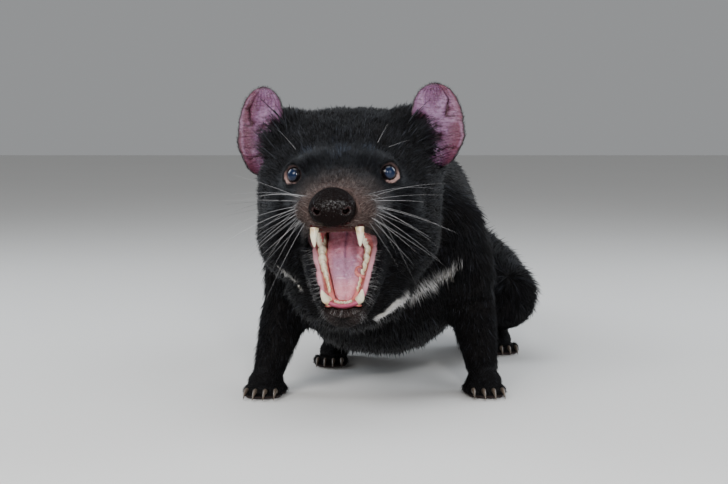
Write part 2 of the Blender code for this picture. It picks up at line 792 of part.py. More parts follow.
def jaw_wedge(name, half_width, grow):
    # What lies under the open jaw: a wedge that opens backwards from the mouth corners.
    frame = jaw_frame()
    reach = 0.3
    low = Vector((0, -grow, -reach))
    top = Vector((0, reach, reach * JAW_WEDGE_SLOPE + grow))
    outline = (low, Vector((0, -grow, grow)), top, Vector((0, reach, -reach)))
    bm = bmesh.new()
    near = [bm.verts.new(frame @ (point - Vector((half_width, 0, 0)))) for point in outline]
    far = [bm.verts.new(frame @ (point + Vector((half_width, 0, 0)))) for point in outline]
    bm.faces.new(near)
    bm.faces.new(far[::-1])
    for k in range(4):
        bm.faces.new((near[k], near[(k + 1) % 4], far[(k + 1) % 4], far[k]))
    return object_from(name, bm, cutter=True)


def part_jaw(head):
    half_width = JAW_WEDGE_HALF_WIDTH * MM
    jaw = copy_of(head, "lower_jaw")
    boolean(jaw, jaw_wedge("jaw_side", half_width, 0), "INTERSECT")
    boolean(head, jaw_wedge("jaw_rest", half_width + GAP, GAP), "DIFFERENCE")
    for obj in (jaw, head):
        keep_largest(obj)


def stand_on_floor():
    # Cuts small flats under the feet and centres the animal on its box.
    bm = bmesh.new()
    bmesh.ops.create_cube(bm, size=2, matrix=Matrix.Translation((0, 0, -1)))
    floor = object_from("floor_cut", bm, cutter=True)
    parts = bpy.data.collections["tasmanian_devil"].objects
    for obj in parts:
        if "foot" in obj.name:
            boolean(obj, floor, "DIFFERENCE")
            keep_largest(obj)
    corners = [vert.co for obj in parts for vert in obj.data.vertices]
    middle = Vector([(min(c[k] for c in corners) + max(c[k] for c in corners)) / 2 for k in (0, 1)] + [0])
    for obj in parts:
        obj.data.transform(Matrix.Translation(-middle))
    print("middle of the stance", [round(v, 5) for v in middle])


def colour_parts():
    # Gives each part its material and shades it smooth.
    coat = material("coat", SKIN_BLACK, 0.7)
    own = {
        "nose": material("nose_skin", NOSE_BLACK, 0.3),
        "eye": material("eye", EYE_BLACK, 0.05),
        "ear": material("ear_skin", EAR_PINK, 0.6),
        "tongue": material("tongue", TONGUE_PINK, 0.35),
        "upper_teeth": material("tooth", IVORY, 0.3),
    }
    own["lower_teeth"] = own["upper_teeth"]
    for obj in bpy.data.collections["tasmanian_devil"].objects:
        name = obj.name.removesuffix("_left").removesuffix("_right")
        obj.data.materials.clear()
        obj.data.materials.append(own.get(name, coat))
        obj.data.shade_smooth()
        obj.data.set_sharp_from_angle(angle=math.radians(40))


def main():
    clear_scene()
    new_collection("tasmanian_devil")
    new_collection("cutters")
    flesh = make_flesh()
    nose = make_nose()
    seat(flesh, nose)
    carve_nostrils(nose)
    for name, row in (("upper_teeth", upper_row), ("lower_teeth", lower_row)):
        boolean(flesh, make_teeth(name, row)[1], "DIFFERENCE")
    for piece in (make_tongue(), make_eye("left"), make_eye("right")):
        seat(flesh, piece)
    for side in SIDES:
        # EXACT leaves these thin shells uncut.
        boolean(make_ear(side), grown(flesh, "ear_root_" + side, GAP), "DIFFERENCE", "MANIFOLD")
        keep_largest(bpy.data.objects["ear_" + side])
    part_legs(flesh)
    head = part_off(flesh, "head", *HEAD_CUT)
    neck = part_off(flesh, "neck", *NECK_CUT)
    tail = part_off(flesh, "tail", *TAIL_CUT)
    rump = part_off(flesh, "rump", *RUMP_CUT)
    part_jaw(head)
    flesh.name = "chest"
    for obj in (head, neck, tail, rump, flesh):
        keep_largest(obj)
    stand_on_floor()
    colour_parts()
    total = 0
    for obj in bpy.data.collections["tasmanian_devil"].objects:
        total += triangles_in(obj)
        print(obj.name, triangles_in(obj))
    print("triangles in all", total)


main()
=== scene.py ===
import math

import bmesh
import bpy
import numpy as np
from mathutils import Euler, Matrix, Vector
from mathutils.bvhtree import BVHTree


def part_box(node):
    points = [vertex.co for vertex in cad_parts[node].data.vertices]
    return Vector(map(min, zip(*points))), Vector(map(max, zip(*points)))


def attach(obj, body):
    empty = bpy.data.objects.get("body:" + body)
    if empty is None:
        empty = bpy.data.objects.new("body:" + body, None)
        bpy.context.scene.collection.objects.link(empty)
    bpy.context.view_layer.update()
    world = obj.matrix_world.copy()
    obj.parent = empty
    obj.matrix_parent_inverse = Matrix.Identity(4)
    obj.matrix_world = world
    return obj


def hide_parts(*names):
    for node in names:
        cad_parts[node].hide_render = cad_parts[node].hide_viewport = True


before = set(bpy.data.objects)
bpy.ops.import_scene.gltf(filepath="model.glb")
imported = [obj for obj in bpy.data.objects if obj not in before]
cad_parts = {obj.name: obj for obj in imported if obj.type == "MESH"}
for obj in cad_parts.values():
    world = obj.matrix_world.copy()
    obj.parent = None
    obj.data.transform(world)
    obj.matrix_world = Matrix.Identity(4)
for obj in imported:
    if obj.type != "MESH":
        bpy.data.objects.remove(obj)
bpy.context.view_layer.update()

mm = 0.001
sides = {"left": 1, "right": -1}
bodyName = "root"

# How the head is held, in degrees and millimetres. Head points count from midway between the eyes,
# X to the animal's left, nose towards -Y. Jaw points run along the open jaw in Y, out of its floor in Z.
headPose = {
    "yaw": -4.5,
    "pitch": 4,
    "roll": -1.6,
    "gape": 58,
    "eyeSetBack": (0, 2, -0.8),
    "mouthCorner": (1.6, -2, -47),
    "eyeCentre": (30, 2, -0.8),
    "eyeTurnOut": 30,
    "eyeTurnUp": 6,
}


def nodeMiddle(name):
    low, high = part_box(name)
    return (low + high) / 2


def turned(degrees, axis):
    return Matrix.Rotation(math.radians(degrees), 4, axis)


def shifted(point):
    return Matrix.Translation(Vector(point) * mm)


def findFrames():
    middle = (nodeMiddle("eye_left") + nodeMiddle("eye_right")) / 2
    turn = turned(headPose["yaw"], "Z") @ turned(-headPose["pitch"], "X") @ turned(headPose["roll"], "Y")
    head = Matrix.Translation(middle) @ turn @ shifted(-Vector(headPose["eyeSetBack"]))
    gape = math.radians(headPose["gape"])
    along = Vector((0, -math.cos(gape), -math.sin(gape)))
    out = Vector((0, -math.sin(gape), math.cos(gape)))
    jawTurn = Matrix((along.cross(out), along, out)).transposed().to_4x4()
    return head, head @ shifted(headPose["mouthCorner"]) @ jawTurn


headFrame, jawFrame = findFrames()
headPlace = headFrame.translation


def eyeFrame(side):
    x, y, z = headPose["eyeCentre"]
    turn = turned(side * headPose["eyeTurnOut"], "Z") @ turned(-headPose["eyeTurnUp"], "X")
    return headFrame @ shifted((side * x, y, z)) @ turn


def inFrame(matrix, points):
    # points in metres, as rows; the answer is in that frame's millimetres
    back = np.array(matrix.inverted())
    return (points @ back[:3, :3].T + back[:3, 3]) / mm


def fromFrame(matrix, points):
    turn = np.array(matrix)
    return (np.asarray(points, float) * mm) @ turn[:3, :3].T + turn[:3, 3]


def smooth(low, high, values):
    share = np.clip((values - low) / (high - low), 0, 1)
    return share * share * (3 - 2 * share)


def wobble(points, size, seed):
    # Soft patternless values, mostly from -1 to 1, in waves of about that size.
    rng = np.random.default_rng(seed)
    total = np.zeros(len(points))
    for _ in range(7):
        way = rng.normal(size=3)
        way *= 2 * math.pi / (np.linalg.norm(way) * size * rng.uniform(0.7, 1.5))
        total += np.sin(points @ way + rng.uniform(0, 2 * math.pi))
    return total / 2.6


def distanceToPath(points, path):
    best = np.full(len(points), 1e9)
    for start, end in zip(path[:-1], path[1:]):
        step = end - start
        share = np.clip((points - start) @ step / max(step @ step, 1e-12), 0, 1)
        best = np.minimum(best, np.linalg.norm(points - start - share[:, None] * step, axis=1))
    return best


# Camera and light

cameraSizes = {"fromHead": (15.3, -1300, 67), "pitch": 85, "focalPixels": 1912, "picture": (728, 484)}


def makeCamera():
    width = cameraSizes["picture"][0]
    data = bpy.data.cameras.new("camera")
    data.sensor_width = 36
    data.lens = data.sensor_width * cameraSizes["focalPixels"] / width
    data.clip_start, data.clip_end = 0.05, 20
    camera = bpy.data.objects.new("camera", data)
    bpy.context.scene.collection.objects.link(camera)
    camera.location = headPlace + Vector(cameraSizes["fromHead"]) * mm
    camera.rotation_euler = (math.radians(cameraSizes["pitch"]), 0, 0)
    bpy.context.scene.camera = camera
    bpy.context.view_layer.update()
    return camera


camera = makeCamera()


def pixelRay(x, y):
    width, height = cameraSizes["picture"]
    way = Vector((x - width / 2, height / 2 - y, -cameraSizes["focalPixels"]))
    return camera.location, (camera.rotation_euler.to_matrix() @ way).normalized()


lightSizes = {
    # place from the head's middle in metres, size, power, colour
    "key": ((-0.75, -1.25, 0.95), 0.9, 22, (1.0, 0.98, 0.96)),
    "fill": ((1.0, -1.1, 0.55), 1.1, 9, (0.93, 0.96, 1.0)),
    "flash": ((0.13, -1.34, 0.42), 0.12, 11, (1.0, 1.0, 1.0)),
    "top": ((0.0, 0.25, 1.2), 1.2, 10, (0.9, 0.95, 1.0)),
    "rimLeft": ((1.0, 0.75, 0.6), 0.7, 6.5, (0.85, 0.92, 1.0)),
    "rimRight": ((-1.0, 0.7, 0.6), 0.7, 6.5, (0.85, 0.92, 1.0)),
}
worldGlow = 0.36


def makeLights():
    for name, (place, size, power, colour) in lightSizes.items():
        data = bpy.data.lights.new(name, "AREA")
        data.shape = "DISK"
        data.size, data.energy, data.color = size, power, colour
        light = bpy.data.objects.new(name, data)
        bpy.context.scene.collection.objects.link(light)
        light.location = headPlace + Vector(place)
        aim = Vector((0, 0.08, -0.05)) - Vector(place)
        light.rotation_euler = aim.to_track_quat("-Z", "Y").to_euler()
    world = bpy.data.worlds.new("studio")
    world.use_nodes = True
    world.node_tree.nodes["Background"].inputs["Color"].default_value = (0.86, 0.88, 0.9, 1)
    world.node_tree.nodes["Background"].inputs["Strength"].default_value = worldGlow
    bpy.context.scene.world = world


makeLights()


# Mesh helpers

def newObject(name, mesh):
    made = bpy.data.objects.new(name, mesh)
    bpy.context.scene.collection.objects.link(made)
    return made


def objectFrom(name, bm):
    bmesh.ops.recalc_face_normals(bm, faces=bm.faces)
    mesh = bpy.data.meshes.new(name)
    bm.to_mesh(mesh)
    bm.free()
    return newObject(name, mesh)


def settle(obj):
    # Swaps the object's mesh for what its modifiers make of it.
    bpy.context.view_layer.update()
    made = bpy.data.meshes.new_from_object(obj.evaluated_get(bpy.context.evaluated_depsgraph_get()))
    old = obj.data
    obj.modifiers.clear()
    obj.data = made
    bpy.data.meshes.remove(old)
    return obj


def fuse(obj, voxel, rounds):
    remesh = obj.modifiers.new("fuse", "REMESH")
    remesh.mode = "VOXEL"
    remesh.voxel_size = voxel * mm
    soften = obj.modifiers.new("soften", "SMOOTH")
    soften.iterations = rounds
    return settle(obj)


def cut(obj, cutter):
    step = obj.modifiers.new("cut", "BOOLEAN")
    step.object = cutter
    step.operation = "DIFFERENCE"
    step.solver = "MANIFOLD"
    settle(obj)
    bpy.data.objects.remove(cutter)
    return obj


def paint(obj, material):
    obj.data.materials.clear()
    obj.data.materials.append(material)
    obj.data.shade_smooth()


def trianglesIn(mesh):
    return sum(len(face.vertices) - 2 for face in mesh.polygons)


def pointsOf(mesh):
    places = np.empty(len(mesh.vertices) * 3, np.float32)
    mesh.vertices.foreach_get("co", places)
    return places.reshape(-1, 3).astype(float)


def setPoints(mesh, places):
    mesh.vertices.foreach_set("co", places.astype(np.float32).ravel())
    mesh.update()


def normalsOf(mesh):
    normals = np.empty(len(mesh.vertices) * 3, np.float32)
    mesh.vertices.foreach_get("normal", normals)
    return normals.reshape(-1, 3).astype(float)


def setValues(mesh, name, values):
    # Keeps one number, or three, for each point of the mesh.
    kind, key = ("FLOAT", "value") if values.ndim == 1 else ("FLOAT_VECTOR", "vector")
    layer = mesh.attributes.get(name) or mesh.attributes.new(name, kind, "POINT")
    layer.data.foreach_set(key, values.astype(np.float32).ravel())


def place(point, matrix=None):
    spot = Vector(point) * mm
    return matrix @ spot if matrix else spot


def ellipsoid(bm, centre, radii, turn=(0, 0, 0), matrix=None, segments=24):
    rotation = Euler([math.radians(a) for a in turn]).to_matrix().to_4x4()
    shape = shifted(centre) @ rotation @ Matrix.Diagonal((*(Vector(radii) * mm), 1))
    if matrix:
        shape = matrix @ shape
    bmesh.ops.create_uvsphere(bm, u_segments=segments, v_segments=segments * 2 // 3, radius=1, matrix=shape)


def pairOfEllipsoids(bm, centre, radii, turn=(0, 0, 0), matrix=None, segments=24):
    for side in sides.values():
        x, y, z = centre
        ellipsoid(bm, (side * x, y, z), radii, (turn[0], side * turn[1], side * turn[2]), matrix, segments)


def flowing(stations, steps):
    # Smooth curve through rows of numbers, with steps rows for each stretch.
    rows, last = [], len(stations) - 1
    for i in range(last):
        before, start, end, after = (np.array(stations[min(max(i + k, 0), last)], float) for k in (-1, 0, 1, 2))
        for t in np.arange(steps) / steps:
            bend = (2 * before - 5 * start + 4 * end - after) * t**2
            bend += (3 * start - before - 3 * end + after) * t**3
            rows.append(0.5 * (2 * start + (end - before) * t + bend))
    rows.append(np.array(stations[-1], float))
    return rows


def loft(bm, rings):
    rows = [[bm.verts.new(point) for point in ring] for ring in rings]
    count = len(rows[0])
    for lower, upper in zip(rows, rows[1:]):
        for k in range(count):
            bm.faces.new((lower[k], lower[(k + 1) % count], upper[(k + 1) % count], upper[k]))
    bm.faces.new(rows[0][::-1])
    bm.faces.new(rows[-1])


def oval(halfWidth, halfHeight, power=2.0, count=24):
    angles = 2 * math.pi * np.arange(count) / count
    c, s = np.cos(angles), np.sin(angles)
    return list(zip(halfWidth * np.sign(c) * abs(c) ** (2 / power), halfHeight * np.sign(s) * abs(s) ** (2 / power)))


def tube(bm, stations, matrix=None, count=14, steps=3):
    # Round-ended tube through rows of x, y, z and radius.
    rows = [(Vector(row[:3]), row[3]) for row in flowing(stations, steps)]
    (first, firstRadius), (last, lastRadius) = rows[0], rows[-1]
    start = (first - rows[1][0]).normalized()
    end = (last - rows[-2][0]).normalized()
    angles = [math.radians(a) for a in (80, 55, 28)]
    front = [(first + start * firstRadius * math.sin(a), firstRadius * math.cos(a)) for a in angles]
    back = [(last + end * lastRadius * math.sin(a), lastRadius * math.cos(a)) for a in angles[::-1]]
    rows = front + rows + back
    side = (rows[1][0] - rows[0][0]).orthogonal().normalized()
    rings = []
    for i, (centre, radius) in enumerate(rows):
        along = (rows[min(i + 1, len(rows) - 1)][0] - rows[max(i - 1, 0)][0]).normalized()
        side = (side - along * side.dot(along)).normalized()
        up = along.cross(side)
        rings.append([place(centre + side * x + up * y, matrix) for x, y in oval(radius, radius, 2, count)])
    loft(bm, rings)


# Node helpers

class NodeMaker:
    # Short calls for the nodes of one tree.
    def node(self, kind, **settings):
        made = self.tree.nodes.new(kind)
        for name, value in settings.items():
            setattr(made, name, value)
        return made

    def link(self, source, target):
        self.tree.links.new(source, target)

    def feed(self, node, values):
        for key, value in values.items():
            if isinstance(value, bpy.types.NodeSocket):
                self.link(value, node.inputs[key])
            else:
                node.inputs[key].default_value = value

    def math(self, operation, a, b=0.0, clamp=False):
        made = self.node("ShaderNodeMath", operation=operation, use_clamp=clamp)
        self.feed(made, {0: a, 1: b})
        return made.outputs[0]

    def vector(self, operation, a, b=(0, 0, 0), scale=None):
        made = self.node("ShaderNodeVectorMath", operation=operation)
        self.feed(made, {0: a} if scale is not None else {0: a, 1: b})
        if scale is not None:
            self.feed(made, {"Scale": scale})
        return made.outputs[0]


class Finish(NodeMaker):
    # A material with short calls for its nodes.
    def __init__(self, name, **sockets):
        self.material = bpy.data.materials.new(name)
        self.material.use_nodes = True
        self.tree = self.material.node_tree
        self.shader = self.tree.nodes["Principled BSDF"]
        for socket, value in sockets.items():
            self.shader.inputs[socket.replace("_", " ")].default_value = value

    def value(self, name):
        return self.node("ShaderNodeAttribute", attribute_name=name).outputs["Fac"]

    def objectPlace(self, scale=(1, 1, 1)):
        spot = self.node("ShaderNodeTexCoord").outputs["Object"]
        mapping = self.node("ShaderNodeMapping")
        self.feed(mapping, {"Vector": spot, "Scale": scale})
        return mapping.outputs["Vector"]

    def noise(self, scale, detail=3, roughness=0.5, where=None, distortion=0.0):
        made = self.node("ShaderNodeTexNoise")
        where = where or self.objectPlace()
        self.feed(made, {"Vector": where, "Scale": scale, "Detail": detail, "Roughness": roughness})
        made.inputs["Distortion"].default_value = distortion
        return made.outputs["Fac"]

    def cells(self, scale, where=None, feature="F1", output="Distance"):
        made = self.node("ShaderNodeTexVoronoi", feature=feature)
        self.feed(made, {"Vector": where or self.objectPlace(), "Scale": scale})
        return made.outputs[output]

    def between(self, value, low, high, start=0.0, end=1.0):
        made = self.node("ShaderNodeMapRange", interpolation_type="SMOOTHSTEP")
        self.feed(made, {"Value": value, "From Min": low, "From Max": high, "To Min": start, "To Max": end})
        return made.outputs["Result"]

    def mix(self, share, first, second, blend="MIX"):
        made = self.node("ShaderNodeMix", data_type="RGBA", blend_type=blend)
        for key, value in (("Factor_Float", share), ("A_Color", first), ("B_Color", second)):
            socket = next(s for s in made.inputs if s.identifier == key)
            if isinstance(value, bpy.types.NodeSocket):
                self.link(value, socket)
            else:
                socket.default_value = (*value, 1) if isinstance(value, tuple) else value
        return next(s for s in made.outputs if s.identifier == "Result_Color")

    def bump(self, height, distance, strength=1.0, under=None):
        made = self.node("ShaderNodeBump")
        self.feed(made, {"Height": height, "Distance": distance, "Strength": strength})
        if under:
            self.link(under, made.inputs["Normal"])
        return made.outputs["Normal"]

    def give(self, **sockets):
        for socket, source in sockets.items():
            self.link(source, self.shader.inputs[socket.replace("_", " ")])
        return self.material


# Places on the animal that several pieces share, in millimetres

stance = {"eyeMidpoint": (-15.3, 0, 168)}  # where the head's middle is, from the spot that the feet are laid out round
mouthShift = 0.6
lipSizes = {
    "upper": ((0, -56, -34), (9, -54.5, -33.5), (16.5, -48, -33.5), (19.5, -36, -36), (21, -20, -40.5), (21.6, -8, -45.5)),
    "halfWidth": 21.6,
    "taper": 9.6,
    "lowerLength": 49.0,
    "fullness": 16,
    "thickness": ((3, 5, 7, 24, 32), (0.62, 0.8, 1, 1, 0.7)),  # at these points of the path
}
upperGum = ((16.4, -5, -47), (16, -14, -43.6), (15.4, -25, -40.2), (14.4, -37, -38), (12.4, -44.5, -37.4),
            (7.5, -47.5, -37.2), (0, -48.5, -37.2))
lowerGum = ((15.8, -6, -2.6), (15.4, 5, -2.6), (14.4, 16, -2.6), (12.2, 26, -2.6), (10, 36, -2.6), (8.2, 43, -2.6),
            (5, 45.6, -2.6), (0, 46.6, -2.6))
upperMouthFrame = headFrame @ shifted((mouthShift, 0, 0))


def fromStance(point):
    return headPlace + (Vector(point) - Vector(stance["eyeMidpoint"])) * mm


def bothSides(path):
    return list(path) + [(-x, y, z) for x, y, z in path[-2::-1]]


def lowerLipHalf(share):
    # Half the width of the ring of the lower lip, at a share of its length.
    across = lipSizes["halfWidth"] - lipSizes["taper"] * share
    return across * np.sqrt(np.maximum(0, 1 - share ** lipSizes["fullness"]))


def lipPath(side):
    # From under the nose back to the corner of the mouth and on to the chin, in metres.
    # x, y, z of head points, then jaw points
    points = [place((side * x + mouthShift, y, z), headFrame) for x, y, z in lipSizes["upper"]]
    for share in 1 - (1 - np.arange(1, 31) / 30) ** 1.6:
        points.append(place((-side * lowerLipHalf(share), share * lipSizes["lowerLength"], 0), jawFrame))
    return np.array(points)


lipPaths = {side: lipPath(side) for side in sides.values()}

earSizes = {
    # for the left and the right ear, which turns a little further
    "lobe": {1: (66.0, 55, 4.5), -1: (64.4, 55, 2.0)},
    "tip": {1: (61.8, 59, 63.4), -1: (59.6, 59, 64)},
    "halfWidth": {1: 18.6, -1: 17.0},
    "thickness": 1.4,
    "cupDepth": 9.5,
    "turnOut": 14,
    "columns": 60,
    "levels": 120,
    "ridgeStep": 2.0,
    "ridge": 0.46,
    "press": (24, 10),  # flesh this far in front of the ear stays, and nearer than this is pressed behind it
}


def earAxes(side):
    # Its lobe in head points, the ways up, outwards and to the front, and its height.
    lobe, tip = (np.array(earSizes[end][side], float) * (side, 1, 1) for end in ("lobe", "tip"))
    height = np.linalg.norm(tip - lobe)
    up = (tip - lobe) / height
    front = np.array(turned(side * earSizes["turnOut"], "Z").to_3x3() @ Vector((0, -1, 0)))
    front -= up * (front @ up)
    front /= np.linalg.norm(front)
    outwards = np.cross(front, up)
    return lobe, up, outwards * math.copysign(1, outwards[0] * side), front, height


def earHalf(share, side):
    half = earSizes["halfWidth"][side] * np.sqrt(1 - abs(2 * share**0.9 - 1) ** 2.6)
    return half * (1 - 0.28 * smooth(0.38, 0.02, share))  # the lobe is narrow


def earDepth(outward, share):
    return earSizes["cupDepth"] * (1 - 0.75 * share) * (1 - outward * outward) - 3 * share * (1 - abs(outward))


# Skin

fleshNodes = ["head", "lower_jaw", "neck", "chest", "rump", "tail"]
fleshNodes += [f"{part}_{side}" for part in ("upper_arm", "forearm", "forefoot") for side in sides]
fleshNodes += [f"{part}_{side}" for part in ("thigh", "shank", "hindfoot") for side in sides]

skinSizes = {
    "swell": 0.5,  # closes the thin cuts between the parts
    "voxel": 1.1,
    "rounds": 5,
    "triangles": 190000,
    "lidRim": (6.7, 6.1, 0.75),
    "lidFold": (9.4, 8.8, 0.8),
    "lidBall": 8.3,
    "eyeBowl": (-5.0, 6.8, 1.1),  # how far forward flesh may stand round the eye, from which reach, and how it grows
    "lipRadius": 2.6,
}

# For each part: depth of its coat, length of its hair, and the way it lies; None is away from the nose
coatTable = {
    "head": (2.4, 6.5, None),
    "lower_jaw": (1.5, 5.0, None),
    "neck": (3.6, 11, (0, 1, -0.35)),
    "chest": (3.8, 12.5, (0.05, 1, -0.45)),
    "rump": (3.8, 13, (0.1, 1, -0.4)),
    "tail": (3.8, 14, (0.15, 1, -0.28)),
    "upper_arm": (3.4, 11, (0, 0.5, -1)),
    "forearm": (2.2, 7, (0, 0.25, -1)),
    "forefoot": (0.9, 3.5, (0, -1, -0.25)),
    "thigh": (3.6, 12.5, (0, 0.75, -0.8)),
    "shank": (2.4, 8, (0, 0.6, -0.7)),
    "hindfoot": (0.9, 3.5, (0, -1, -0.15)),
}


def partKind(name):
    return name.removesuffix("_left").removesuffix("_right")


def mergedCopy(name):
    bm = bmesh.new()
    bm.from_mesh(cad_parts[name].data)
    bmesh.ops.remove_doubles(bm, verts=bm.verts, dist=1e-6)
    bm.normal_update()
    return bm


def clearEyes(skin):
    # Presses the flesh back into a shallow bowl round each eye.
    places = pointsOf(skin.data)
    forward, reach, slope = skinSizes["eyeBowl"]
    for side in sides.values():
        local = inFrame(eyeFrame(side), places)
        away = np.hypot(local[:, 0], local[:, 2] / 0.94)
        limit = forward - slope * np.maximum(0, away - reach)
        near = (away < 15) & (local[:, 1] < limit) & (local[:, 1] > -24)
        local[near, 1] = (limit + (local[:, 1] - limit) * smooth(8.5, 15, away))[near]
        places[near] = fromFrame(eyeFrame(side), local[near])
    setPoints(skin.data, places)


def nearEar(head, side):
    # Each place in the ear's own chart: outward, share of its height, and how far in front of its surface.
    lobe, up, outwards, front, height = earAxes(side)
    local = head - lobe
    high = local @ up / height
    share = np.clip(high, 0.01, 0.99)
    outward = local @ outwards / earHalf(share, side)
    return outward, high, local @ front + earDepth(np.clip(outward, -1, 1), share)


def clearEars(skin):
    # Presses the flesh in front of each ear's hollow behind the ear.
    head = inFrame(headFrame, pointsOf(skin.data))
    far, close = earSizes["press"]
    for side in sides.values():
        outward, high, ahead = nearEar(head, side)
        hold = smooth(-1.0, -0.7, outward) * smooth(1.2, 0.9, outward) * smooth(0.0, 0.1, high) * smooth(1.04, 0.95, high)
        hold *= smooth(far, close, ahead)
        push = np.maximum(0, ahead + 1.3) * hold
        head -= push[:, None] * earAxes(side)[3]
    setPoints(skin.data, fromFrame(headFrame, head))


def addLids(bm):
    for side in sides.values():
        matrix = eyeFrame(side)
        width, height, radius = skinSizes["lidRim"]
        rim = []
        for angle in np.radians(np.arange(0, 361, 12)):
            x, z = width * math.cos(angle), height * math.sin(angle)
            inner = max(0, -side * math.cos(angle)) ** 3  # the corner towards the nose reaches further
            x, z = x - side * 1.3 * inner, z - 0.9 * inner
            y = -math.sqrt(max(4, skinSizes["lidBall"] ** 2 - x * x - z * z))
            rim.append((x, y, z, radius + 0.45 * max(0, -math.sin(angle))))
        tube(bm, rim, matrix, count=10, steps=1)
        width, height, radius = skinSizes["lidFold"]
        for low, high, lift in ((25, 155, 0.2), (205, 335, -0.4)):
            fold = []
            for degrees in range(low, high + 1, 10):
                swell = 0.5 + 0.5 * math.sin(math.pi * (degrees - low) / (high - low))
                angle = math.radians(degrees)
                fold.append((width * math.cos(angle) * side, -3.4, height * math.sin(angle) + lift, radius * swell))
            tube(bm, fold, matrix, count=10, steps=1)


def addLips(bm):
    radius = skinSizes["lipRadius"]
    for side, path in lipPaths.items():
        row = [(*(point / mm), radius * float(np.interp(i, *lipSizes["thickness"]))) for i, point in enumerate(path)]
        tube(bm, row[2:], count=14, steps=1)


def addMouthFillers(bm):
    # Beds for the gums, so that no slit shows beside them.
    upper = [(x * 1.08, y + 0.06 * max(0, -y - 38) ** 1.6, z + 1.6, 4.0) for x, y, z in bothSides(upperGum)]
    tube(bm, upper, upperMouthFrame)
    tube(bm, [(x * 1.12, y - 0.6 * (y > 40), z - 1.8, 4.2) for x, y, z in bothSides(lowerGum)], jawFrame)


def spread(edges, values, rounds):
    # Averages each point's numbers with its neighbours'.
    a, b = edges.T
    size = len(values)
    count = np.bincount(a, minlength=size) + np.bincount(b, minlength=size) + 1
    columns = list(values.reshape(size, -1).T)
    for _ in range(rounds):
        columns = [(c + np.bincount(a, c[b], size) + np.bincount(b, c[a], size)) / count for c in columns]
    return np.array(columns).T.reshape(values.shape)


def edgesOf(mesh):
    pairs = np.empty(len(mesh.edges) * 2, np.int32)
    mesh.edges.foreach_get("vertices", pairs)
    return pairs.reshape(-1, 2)


def unit(vectors):
    return vectors / np.maximum(np.linalg.norm(vectors, axis=1, keepdims=True), 1e-9)


def nearestPart(places):
    # For each place, the number in fleshNodes of the part that it lies on.
    points, faces, owners, start = [], [], [], 0
    for number, name in enumerate(fleshNodes):
        bm = mergedCopy(name)
        points += [v.co.copy() for v in bm.verts]
        faces += [[start + v.index for v in f.verts] for f in bm.faces]
        owners += [number] * len(bm.faces)
        start = len(points)
        bm.free()
    tree = BVHTree.FromPolygons(points, faces)
    return np.array([owners[tree.find_nearest(Vector(p))[2]] for p in places])


def thinBody(skin):
    # Keeps the face fine and thins what the long coat hides.
    places = inFrame(headFrame, pointsOf(skin.data))
    face = np.flatnonzero((places[:, 1] < 40) & (places[:, 2] > -130) & (abs(places[:, 0]) < 90))
    inside = np.zeros(len(places), bool)
    inside[face] = True
    total = trianglesIn(skin.data)
    group = skin.vertex_groups.new(name="face")
    group.add(face.tolist(), 1.0, "REPLACE")
    thin = skin.modifiers.new("thin", "DECIMATE")
    thin.ratio = min(1, skinSizes["triangles"] / total)
    thin.use_collapse_triangulate = True
    thin.vertex_group = "face"
    thin.invert_vertex_group = True
    thin.vertex_group_factor = 1000
    settle(skin)
    skin.vertex_groups.clear()
    print("skin thinned from", total, "to", trianglesIn(skin.data))


